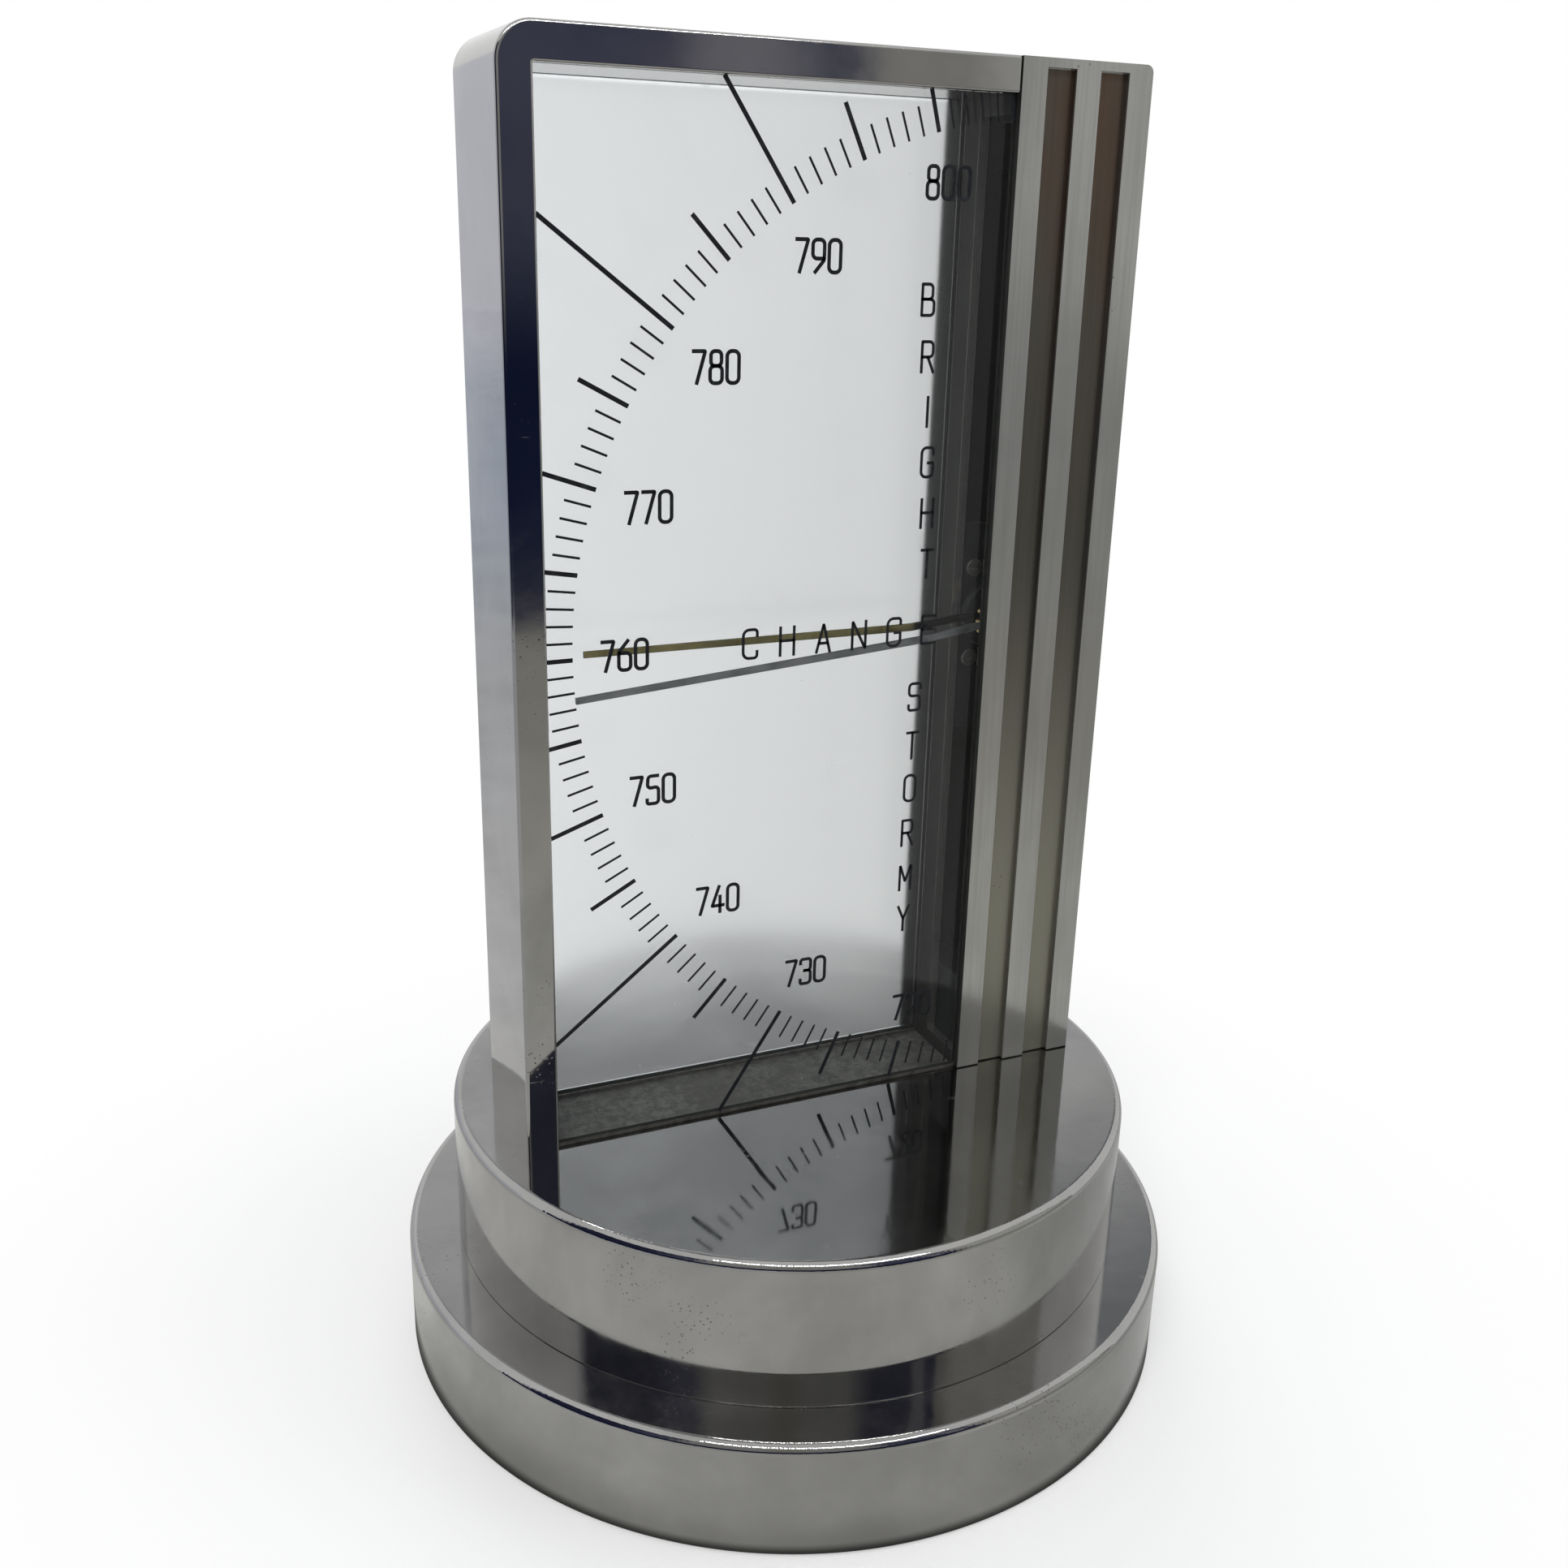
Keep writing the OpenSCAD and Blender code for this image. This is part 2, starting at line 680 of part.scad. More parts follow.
module indicating_hand() {
    color("#8a7d4a")
    translate([a_x, 0, a_z]) rotate([0, pointer_deg, 0])
        hand(arbor_y0 + fit, pointer_y0, pointer_crank_r1, pointer_l, 2, arbor_r + 0.02);
}

// Flat spiral of the hairspring: from its collet on the arbor out to the stud
spiral_r0 = 1.3;
spiral_r = 3.6;
spiral_t = 0.16;
spring_stud_r = 0.5;
spiral_turns = 3;
spiral_steps = 90;
spiral_out = spiral_r - spring_stud_r - spiral_t - 0.03;
function spiral_pt(i, off) = let (
    a = 90 - 360 * spiral_turns * (1 - i / spiral_steps),
    r = spiral_r0 + off + (spiral_out - spiral_r0) * i / spiral_steps)
    polar(r, a);

module hairspring() {
    color("#3c4a63")
    plate_along_y(spring_y0, spring_y1) translate([a_x, a_z]) polygon(concat(
        [for (i = [0:spiral_steps]) spiral_pt(i, 0)],
        [for (i = [spiral_steps:-1:0]) spiral_pt(i, spiral_t)]));
}

module hairspring_stud() {
    color("#b8a15e")
    rod_along_y(a_x, a_z + spiral_r, spring_stud_r, spring_y0, chassis_y1);
}

sector_n = pinion_n * sector_r / pinion_r;
sector_teeth = 7;
sector_hub_r = 1.7;

module sector() {
    dir = 180 - mesh_deg;
    step = 360 / sector_n;
    rim_r = sector_r - 1.4;
    last = (sector_teeth - 1) / 2;
    color("#b8a15e")
    difference() {
        union() {
            plate_along_y(sector_y0, sector_y1) translate([b_x, b_z]) {
                polygon(concat(
                    [for (i = [-last:last]) each tooth(sector_r, sector_n, dir + i * step)],
                    [for (i = [4:-1:-4]) polar(rim_r, dir + i / 4 * (last + 0.5) * step)]));
                rotate(dir) translate([0, -0.9]) square([rim_r + 0.3, 1.8]);
                rotate(180) translate([0, -1]) square([tail_l, 2]);
                translate([-tail_l, 0]) circle(r = 1.3);
            }
            rod_along_y(b_x, b_z, sector_hub_r, sector_y0, sector_y1 + 0.5);
            rod_along_y(b_x - tail_l, b_z, tail_pin_r, sector_y0, link_y1 + 0.3);
        }
        rod_along_y(b_x, b_z, arbor_r + 0.02, sector_y0 - over, sector_y1 + over);
    }
}

module sector_arbor() {
    color("#9fa3a6") {
        rod_along_y(b_x, b_z, arbor_r, plate_y0 + 0.1, chassis_y1 - 0.1);
    }
}

module eye(z) {
    rod_along_y(rod_x, z, eye_r, link_y0, link_y1);
}

module link_rod() {
    color("#8f959a")
    difference() {
        union() {
            eye(b_z);
            eye(lever_z);
            rod_along_z(rod_x, rod_y, rod_r - 0.1, lever_z + eye_bore, b_z - eye_bore);
        }
        rod_along_y(rod_x, b_z, eye_bore, link_y0 - over, link_y1 + over);
        rod_along_y(rod_x, lever_z, eye_bore, link_y0 - over, link_y1 + over);
    }
}

module set_stud() {
    color("#9fa3a6") {
        rod_along_y(a_x, a_z, stud_r, in_y0 - 0.5, wheel_y1 + washer_t + 0.2);
        rod_along_y(a_x, a_z, boss_r, in_y0, set_hub_y0 - 0.1);
        rod_along_y(a_x, a_z, stud_r + 0.4, wheel_y1 + washer_t + 0.1, wheel_y1 + washer_t + 0.1 + stud_head_t);
    }
}

module set_wheel() {
    color("#b8a15e")
    difference() {
        union() {
            rod_along_y(a_x, a_z, set_hub_r, set_hub_y0, wheel_y1);
            plate_along_y(wheel_y0, wheel_y1)
                translate([a_x, a_z]) polygon(gear(wheel_r, wheel_n, d_deg));
        }
        rod_along_y(a_x, a_z, stud_r + running, set_hub_y0 - over, wheel_y1 + over);
    }
}

module set_hand() {
    color("#7d8285")
    translate([a_x, 0, a_z]) rotate([0, set_deg, 0])
        hand(set_root_y, set_y0, set_crank_r1, set_l, set_hub_r + 1, set_hub_r + 0.02);
}

module friction_washer() {
    color("#c8a850")
    difference() {
        rod_along_y(a_x, a_z, 1.6, wheel_y1 + fit, wheel_y1 + washer_t);
        rod_along_y(a_x, a_z, stud_r + fit, wheel_y1 - over, wheel_y1 + over);
    }
}

knob_y0 = back_y + 0.6;

module knob_shaft() {
    color("#9fa3a6") {
        rod_along_y(d_x, d_z, shaft_r, wheel_y0 - 0.2, knob_y0 + knob_l - 1.2);
        rod_along_y(d_x, d_z, boss_r, plate_y1 + 0.1, plate_y1 + 1);
    }
}

module knob_wheel() {
    color("#b8a15e")
    difference() {
        plate_along_y(wheel_y0, wheel_y1)
            translate([d_x, d_z]) polygon(gear(wheel_r, wheel_n, d_deg + 180 + 180 / wheel_n));
        rod_along_y(d_x, d_z, shaft_r + 0.02, wheel_y0 - over, wheel_y1 + over);
    }
}

module set_knob() {
    notch_r = 0.35;
    color("#c4c8cb")
    difference() {
        rod_along_y(d_x, d_z, knob_r, knob_y0, knob_y0 + knob_l);
        rod_along_y(d_x, d_z, shaft_r + 0.02, knob_y0 - over, knob_y0 + knob_l - 1.1);
        for (i = [0:knob_n - 1]) {
            p = polar(knob_r + 0.1, i * 360 / knob_n);
            rod_along_y(d_x + p[0], d_z + p[1], notch_r, knob_y0 + 0.6, knob_y0 + knob_l - 0.6);
        }
    }
}

module capsule_seat() {
    color("#b8a15e")
    difference() {
        rod_along_z(0, 0, seat_r, plate_z1, capsule_z0);
        rod_along_z(0, 0, zero_screw_r + fit, plate_z1 - over, capsule_z0 + over);
    }
}

// One pressed half of the capsule: rings of height rib_h between its centre and its rim
capsule_mid = capsule_h / 2;
centre_r = seat_r + 1;
rim_w = 1.5;
ring_w = (capsule_r - rim_w - centre_r) / capsule_rings;
function skin_top() = concat(
    [[0, capsule_mid], [centre_r, capsule_mid]],
    [for (i = [0:capsule_rings - 1]) each [
        [centre_r + (i + 0.5) * ring_w, capsule_mid - rib_h],
        [centre_r + (i + 1) * ring_w, i < capsule_rings - 1 ? capsule_mid : skin_t]]],
    [[capsule_r, skin_t]]);

module capsule_half() {
    top = skin_top();
    rotate_extrude($fn = 96) polygon(concat(
        top,
        [[capsule_r, 0]],
        [for (i = [len(top) - 2:-1:0]) [top[i][0], top[i][1] - skin_t]]));
}

module capsule_upper() {
    color("#b9bcbd") translate([0, 0, capsule_z0 + capsule_mid]) capsule_half();
}

module capsule_lower() {
    color("#b9bcbd") translate([0, 0, capsule_z0 + capsule_mid]) mirror([0, 0, 1]) capsule_half();
}

module capsule_stud() {
    color("#9fa3a6") {
        rod_along_z(0, 0, stud_flange_r, capsule_z1, capsule_z1 + 0.8);
        rod_along_z(0, 0, stud_rod_r, capsule_z1, stud_top);
        rod_along_z(0, 0, stud_collar_r, leaf_z1 + 0.1, leaf_z1 + 1.3);
    }
}

module spring_bridge() {
    color("#8b8f90")
    difference() {
        union() {
            box(bridge_x0, bridge_x1, -bridge_w / 2, bridge_w / 2, plate_z1, leaf_z0);
            for (s = [-1, 1]) {
                y0 = s > 0 ? ear_in : -ear_out;
                box(ear_x0, ear_x1, y0, y0 + ear_out - ear_in, leaf_z0 - over, ear_top);
            }
        }
        for (p = bridge_screw_places())
            rod_along_z(p[0], p[1], m3_hole, plate_z1 - over, plate_z1 + post_thread + run_out);
        for (s = [-1, 1])
            rod_along_z(clamp_x, s * clamp_y, m2_hole, leaf_z0 - clamp_thread - run_out, leaf_z0 + over);
        rod_along_y(lever_x, lever_z, lever_shaft_r + fit, -ear_out - over, ear_out + over);
    }
}

module mainspring() {
    color("#5d6470")
    difference() {
        box(ear_x1 + 0.4, leaf_end, -leaf_w / 2, leaf_w / 2, leaf_z0, leaf_z1);
        rod_along_z(0, 0, leaf_bore, leaf_z0 - over, leaf_z1 + over);
        for (s = [-1, 1]) rod_along_z(clamp_x, s * clamp_y, m2_clear, leaf_z0 - over, leaf_z1 + over);
    }
}

module spring_clamp() {
    color("#8b8f90")
    difference() {
        box(ear_x1 + 0.4, bridge_x1, -leaf_w / 2, leaf_w / 2, leaf_z1, leaf_z1 + clamp_t);
        for (s = [-1, 1]) rod_along_z(clamp_x, s * clamp_y, m2_clear, leaf_z1 - over, leaf_z1 + clamp_t + over);
    }
}

module clamp_screws() {
    color("#b9b6a8")
    for (s = [-1, 1]) {
        translate([clamp_x, s * clamp_y, leaf_z1 + clamp_t]) mirror([0, 0, 1])
            screw(clamp_head, m2_r, clamp_t + leaf_t + clamp_thread);
    }
}

module main_lever() {
    color("#b8a15e")
    difference() {
        union() {
            box(lever_x, rod_x, -lever_w / 2, lever_w / 2, lever_z - lever_t / 2, lever_z + lever_t / 2);
            rod_along_y(lever_x, lever_z, 2, -lever_w / 2, lever_w / 2);
            rod_along_y(rod_x, lever_z, 1.5, -lever_w / 2, lever_w / 2);
            rod_along_y(rod_x, lever_z, lever_pin_r, 0, link_y1 + 0.3);
        }
        rod_along_y(lever_x, lever_z, lever_shaft_r + running, -lever_w, lever_w);
    }
}

module lever_shaft() {
    color("#9fa3a6")
    rod_along_y(lever_x, lever_z, lever_shaft_r, -ear_out, ear_out);
}

module zero_screw() {
    color("#c8a850")
    difference() {
        rod_along_z(0, 0, zero_screw_r, foot_gap + 0.2, capsule_z0 - 0.3);
        box(-zero_screw_r - over, zero_screw_r + over, -0.35, 0.35, 0, felt_t + 0.2);
    }
}

felt_pad();
bottom_plate();
bottom_screws();
base_ring();
base_drum();
base_pillars();
frame_bar();
bar_screws();
front_pane();
rear_pane();
pane_packing();
column();
column_cover();
cover_screws();
foot_block();
foot_screws();
head_block();
corner_pins();
chassis_plate();
chassis_screws();
front_plate();
plate_pillars();
plate_screws();
bushes();
pointer_arbor();
pointer_collet();
indicating_hand();
hairspring();
hairspring_stud();
sector();
sector_arbor();
link_rod();
set_stud();
set_wheel();
set_hand();
friction_washer();
knob_shaft();
knob_wheel();
set_knob();
capsule_seat();
capsule_lower();
capsule_upper();
capsule_stud();
spring_bridge();
mainspring();
spring_clamp();
clamp_screws();
main_lever();
lever_shaft();
zero_screw();
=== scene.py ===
import functools
import json
import math

import bmesh
import bpy
import numpy as np
from mathutils import Matrix, Vector


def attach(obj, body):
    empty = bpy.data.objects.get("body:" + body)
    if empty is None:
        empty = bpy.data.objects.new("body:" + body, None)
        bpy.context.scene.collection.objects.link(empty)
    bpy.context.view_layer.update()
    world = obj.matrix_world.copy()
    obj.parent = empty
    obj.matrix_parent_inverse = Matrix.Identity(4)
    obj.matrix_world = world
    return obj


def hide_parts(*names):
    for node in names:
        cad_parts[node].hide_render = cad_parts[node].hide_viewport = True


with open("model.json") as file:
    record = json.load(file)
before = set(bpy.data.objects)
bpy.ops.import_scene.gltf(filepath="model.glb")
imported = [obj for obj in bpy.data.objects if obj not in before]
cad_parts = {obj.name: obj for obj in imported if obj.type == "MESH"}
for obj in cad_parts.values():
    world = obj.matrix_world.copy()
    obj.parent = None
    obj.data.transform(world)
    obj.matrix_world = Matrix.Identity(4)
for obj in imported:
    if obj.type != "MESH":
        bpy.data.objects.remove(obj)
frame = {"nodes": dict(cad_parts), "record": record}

bl_info = {
    "name": "Desk barometer",
    "version": (1, 0, 0),
    "blender": (4, 5, 0),
    "location": "View3D > Sidebar > Barometer",
    "description": "Builds the looks of a desk barometer round its packed CAD part",
    "category": "Object",
}

MM = 0.001

# Sizes of the CAD part in millimetres: X to the right, Y to the back, Z up along the axis of the base
RING_R, RING_Z0, RING_Z1 = 51.0, 0.3, 15.0
DRUM_R, DRUM_Z1 = 44.5, 34.0
EDGE_R = 1.1
LEFT_X, BAR_X, BAR_END, BAR_T = -38.5, -34.6, 20.8, 3.9
TOP_Z, BAR_Z, HALF_D = 160.0, 156.1, 9.0
FRONT_PANE, REAR_PANE = (-8.3, -7.2), (3.2, 5.2)
PANE_X, PANE_Z = (-35.6, 21.05), (34.5, 157.1)
HAND_X, HAND_Z = 26.3, 95.05
KNOB_X, KNOB_Z = 29.8, 101.342
SCALE_X, SCALE_Z = 26.34, 95.78
BAR_SCREWS = ((-36.55, -4.2), (-36.55, 0.6))
FLUTES_X, HOLLOW_X = (24.3, 35.3), (22.28, 37.32)

BODY_OF = {node: body for body, nodes in frame["record"]["behaviour"]["bodies"].items() for node in nodes}
SLOT_OF = {part["node"]: part["material_slot"] for part in frame["record"]["subparts"]}


def linked(name, data):
    """A new object of a mesh, a light or a camera, in the scene."""
    ob = bpy.data.objects.new(name, data)
    bpy.context.scene.collection.objects.link(ob)
    return ob


def smooth(me, sharp):
    """Smooth shading but for the edges sharper than the angle, in degrees."""
    me.polygons.foreach_set("use_smooth", np.ones(len(me.polygons), bool))
    me.set_sharp_from_angle(angle=math.radians(sharp))


def mesh_object(name, co, faces, sharp, join, sliver, flat=None):
    """A mesh from points in metres, joined at seams and poles, facing outward, smooth below the sharp angle.

    Where flat is given, faces that meet at less than that angle become one."""
    me = bpy.data.meshes.new(name)
    me.from_pydata(co.reshape(-1, 3).tolist(), [], faces)
    bm = bmesh.new()
    bm.from_mesh(me)
    bmesh.ops.remove_doubles(bm, verts=bm.verts, dist=join)
    bmesh.ops.dissolve_degenerate(bm, edges=bm.edges, dist=sliver)
    if flat:
        bmesh.ops.dissolve_limit(bm, angle_limit=math.radians(flat), verts=bm.verts, edges=bm.edges)
    bmesh.ops.recalc_face_normals(bm, faces=bm.faces)
    bm.to_mesh(me)
    bm.free()
    smooth(me, sharp)
    return linked(name, me)


def merged(node, name):
    """A copy of a CAD node's mesh, with its split vertices joined and its flat sides made single faces."""
    src = frame["nodes"][node].data
    co = np.zeros(len(src.vertices) * 3)
    src.vertices.foreach_get("co", co)
    return mesh_object(name, co, [list(p.vertices) for p in src.polygons], 30, 1e-6, 1e-7, 0.4)


def joined(first, second):
    """Adds the second object's mesh to the first one's."""
    bm = bmesh.new()
    bm.from_mesh(first.data)
    bm.from_mesh(second.data)
    bm.to_mesh(first.data)
    bm.free()
    bpy.data.objects.remove(second)
    return first


def grid_faces(nu, nv, wrap_u=False, wrap_v=False):
    """Quads of an nu by nv grid of points: (i, j), (i+1, j), (i+1, j+1), (i, j+1), wrapped round where asked."""
    i = np.arange(nu if wrap_u else nu - 1)[:, None]
    j = np.arange(nv if wrap_v else nv - 1)[None, :]
    i2, j2 = (i + 1) % nu, (j + 1) % nv
    return np.stack([i * nv + j, i2 * nv + j, i2 * nv + j2, i * nv + j2], -1).reshape(-1, 4)


def grid_object(name, co, wrap_u=False, wrap_v=False, sharp=38.0):
    """A surface of (nu, nv, 3) points in millimetres. One that is round in v only gets its ends closed."""
    nu, nv = co.shape[:2]
    faces = grid_faces(nu, nv, wrap_u, wrap_v).tolist()
    if wrap_v and not wrap_u:
        faces += [list(range(nv)), list(range((nu - 1) * nv, nu * nv))]
    return mesh_object(name, co * MM, faces, sharp, 2e-7, 1e-8)


def turn(n):
    """n angles round a full circle, as a column."""
    return np.linspace(0, 2 * np.pi, n, endpoint=False)[:, None]


def round_z(r, t, z):
    """Points (r cos t, r sin t, z)."""
    return np.stack(np.broadcast_arrays(r * np.cos(t), r * np.sin(t), z), -1)


def round_y(r, t, y, x0, z0):
    """Points (x0 + r cos t, y, z0 + r sin t)."""
    return round_z(r, t, y)[..., [0, 2, 1]] + [x0, 0.0, z0]


def revolve(name, profile, n=256, centre=None, sharp=38.0):
    """Closed (r, h) profile turned round Z or, where a centre (x, z) is given, round the line along Y through it."""
    r, h = profile[None, :, 0], profile[None, :, 1]
    co = round_y(r, turn(n), h, *centre) if centre else round_z(r, turn(n), h)
    return grid_object(name, co, True, True, sharp)


def fillet(points, radii, closed=True, steps=7):
    """Polyline with its corners rounded: at each corner P a circular arc of radius r, tangent to both legs.

    The arc's centre is P + (a + b)/|a + b| * r / sin(h), with a, b the unit legs and h half the angle between them."""
    pts = np.asarray(points, float)
    n = len(pts)
    radii = np.broadcast_to(np.asarray(radii, float), n)
    out = []
    for k, (p, r) in enumerate(zip(pts, radii)):
        if r <= 0 or (not closed and k in (0, n - 1)):
            out.append(p[None])
            continue
        a, b = pts[k - 1] - p, pts[(k + 1) % n] - p
        la, lb = np.linalg.norm(a), np.linalg.norm(b)
        a, b = a / la, b / lb
        half = 0.5 * math.acos(max(-1.0, min(1.0, float(a @ b))))
        if half > math.pi / 2 - 1e-4:
            out.append(p[None])
            continue
        cut = min(r / math.tan(half), 0.49 * la, 0.49 * lb)
        r = cut * math.tan(half)
        mid = (a + b) / np.linalg.norm(a + b)
        c = p + mid * r / math.sin(half)
        u = (p + a * cut - c) / r
        v = (p + b * cut - c) / r
        ang = math.acos(max(-1.0, min(1.0, float(u @ v))))
        t = np.linspace(0, 1, steps)[:, None]
        out.append(c + r * (np.sin((1 - t) * ang) * u + np.sin(t * ang) * v) / math.sin(ang))
    return np.concatenate(out)


def rounded_slab(name, x, y, z, r, steps=5):
    """Box with every edge round: its outline in X and Z is a rounded rectangle, drawn in by r (1 - sin a) at the
    depth r (1 - cos a) from each face."""
    a = np.linspace(0, np.pi / 2, steps)
    s, c = r * (1 - np.sin(a)), r * (1 - np.cos(a))
    rings = []
    for i, d in zip(np.concatenate([s, c]), np.concatenate([y[0] + c, y[1] - s])):
        corners = [(x[0] + i, z[0] + i), (x[1] - i, z[0] + i), (x[1] - i, z[1] - i), (x[0] + i, z[1] - i)]
        ring = fillet(corners, max(r * 1.2 - i, 0.02), steps=steps)
        rings.append(np.insert(ring, 1, d, axis=1))
    return grid_object(name, np.array(rings), False, True, sharp=50)


def bore(ob, holes, z0, z1):
    """Cuts upright round holes (x, y, radius) out of a closed mesh and keeps the result as plain mesh."""
    for x, y, r in holes:
        cutter = grid_object("cutter", round_z(r, turn(40).T, np.array([[z0], [z1]])) + [x, y, 0], False, True)
        m = ob.modifiers.new("Bore", "BOOLEAN")
        m.operation = "DIFFERENCE"
        m.solver = "EXACT"
        m.object = cutter
        bpy.context.view_layer.update()
        done = bpy.data.meshes.new_from_object(ob.evaluated_get(bpy.context.evaluated_depsgraph_get()))
        ob.modifiers.remove(m)
        ob.data = done
        bpy.data.objects.remove(cutter)
    smooth(ob.data, 38)
    return ob


def settle(ob, node, material, bevel=0, segments=2):
    """Gives a piece its bevel, material and CAD body, and hides the CAD node that it stands for."""
    if bevel > 0:
        m = ob.modifiers.new("Bevel", "BEVEL")
        m.width = bevel * MM
        m.segments = segments
        m.limit_method = "ANGLE"
        m.angle_limit = math.radians(32)
        m.miter_outer = "MITER_ARC"
        m.use_clamp_overlap = True
        m.harden_normals = True
    w = ob.modifiers.new("WeightedNormal", "WEIGHTED_NORMAL")
    w.mode = "FACE_AREA_WITH_ANGLE"
    w.weight = 60
    w.keep_sharp = True
    ob.data.materials.clear()
    ob.data.materials.append(material)
    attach(ob, BODY_OF[node])
    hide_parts(node)


class Graph:
    """A shader tree, built node by node."""

    def __init__(self, owner):
        owner.use_nodes = True
        self.tree = owner.node_tree
        self.tree.nodes.clear()

    def add(self, kind, inputs=None, **props):
        """Adds a node and gives back its outputs."""
        n = self.tree.nodes.new(kind)
        for k, v in props.items():
            setattr(n, k, v)
        for k, v in (inputs or {}).items():
            self.put(n.inputs[k], v)
        return n.outputs

    def put(self, socket, value):
        if isinstance(value, bpy.types.NodeSocket):
            self.tree.links.new(value, socket)
        elif isinstance(value, (tuple, list)) and socket.type == "RGBA" and len(value) == 3:
            socket.default_value = (*value, 1.0)
        else:
            socket.default_value = value

    def math(self, op, *values, clamp=False):
        return self.add("ShaderNodeMath", dict(enumerate(values)), operation=op, use_clamp=clamp)[0]

    def chain(self, op, values):
        """The operation on the first two values, then on that result and the third, and so on."""
        return functools.reduce(lambda a, b: self.math(op, a, b), values)

    def mul(self, *values):
        return self.chain("MULTIPLY", values)

    def plus(self, *values):
        return self.chain("ADD", values)

    def minus(self, a, b):
        return self.math("SUBTRACT", a, b)

    def rays(self, *kinds):
        """1 for the rays of these kinds, 0 for the others."""
        path = self.add("ShaderNodeLightPath")
        return self.chain("MAXIMUM", [path[f"Is {kind} Ray"] for kind in kinds])

    def over(self, fac, under, upper):
        """The second shader over the first one, as far as fac says."""
        return self.add("ShaderNodeMixShader", {0: fac, 1: under, 2: upper})[0]

    def output(self, shader, kind="Material"):
        self.add("ShaderNodeOutput" + kind, {0: shader})


class Shade(Graph):
    """One procedural material on Object coordinates, so that its lengths are in metres."""

    def __init__(self, name):
        self.mat = bpy.data.materials.new(name)
        super().__init__(self.mat)
        self.at = self.add("ShaderNodeTexCoord")["Object"]

    def noise(self, scale, detail=3.0, rough=0.5, stretch=None, distort=0.0):
        at = self.at
        if stretch:
            at = self.add("ShaderNodeVectorMath", {0: at, 1: stretch}, operation="MULTIPLY")[0]
        return self.add("ShaderNodeTexNoise", {"Vector": at, "Scale": scale, "Detail": detail, "Roughness": rough,
                                               "Distortion": distort})["Fac"]

    def spots(self, scale, random=1.0):
        return self.add("ShaderNodeTexVoronoi", {"Vector": self.at, "Scale": scale, "Randomness": random})["Distance"]

    def band(self, value, lo, hi, a=0.0, b=1.0, soft=True):
        """a below lo, b above hi, and a soft or straight passage between them."""
        inputs = {"Value": value, "From Min": lo, "From Max": hi, "To Min": a, "To Max": b}
        return self.add("ShaderNodeMapRange", inputs, interpolation_type="SMOOTHSTEP" if soft else "LINEAR")[0]

    def fall(self, value, lo, hi):
        return self.band(value, lo, hi, 1.0, 0.0)

    def between(self, v, lo, hi, soft):
        """1 where lo < v < hi, with soft borders."""
        return self.mul(self.band(v, lo - soft, lo + soft), self.fall(v, hi - soft, hi + soft))

    def mix(self, fac, a, b):
        return self.add("ShaderNodeMix", {0: fac, 6: a, 7: b}, data_type="RGBA")[2]

    def layers(self, col, *pairs):
        """Lays each (mask, colour) over what is below it."""
        for mask, upper in pairs:
            col = self.mix(mask, col, upper)
        return col

    def bump(self, height, depth, normal=None):
        inputs = {"Height": height, "Distance": depth * MM}
        if normal is not None:
            inputs["Normal"] = normal
        return self.add("ShaderNodeBump", inputs)[0]

    def xyz(self, vector=None):
        return self.add("ShaderNodeSeparateXYZ", {"Vector": vector or self.at})[:3]

    def facing(self):
        """The surface's own normal, before any bump, as three numbers."""
        return self.xyz(self.add("ShaderNodeNewGeometry")["Normal"])

    def radius(self):
        """Distance from the axis of the base."""
        x, y, _ = self.xyz()
        return self.math("SQRT", self.plus(self.mul(x, x), self.mul(y, y)))

    def azimuth(self):
        """Degrees round the axis of the base, from -Y toward +X."""
        x, y, _ = self.xyz()
        return self.mul(self.math("ARCTAN2", x, self.mul(y, -1.0)), 180 / math.pi)

    def glow(self, colour, strength=1.0):
        self.output(self.add("ShaderNodeEmission", {"Color": colour, "Strength": strength})[0])
        return self.mat

    def done(self, **inputs):
        self.output(self.add("ShaderNodeBsdfPrincipled", {k.replace("_", " "): v for k, v in inputs.items()})[0])
        return self.mat


def toned(colour, k):
    """The colour k times as bright, at most white."""
    return tuple(min(c * k, 1) for c in colour)


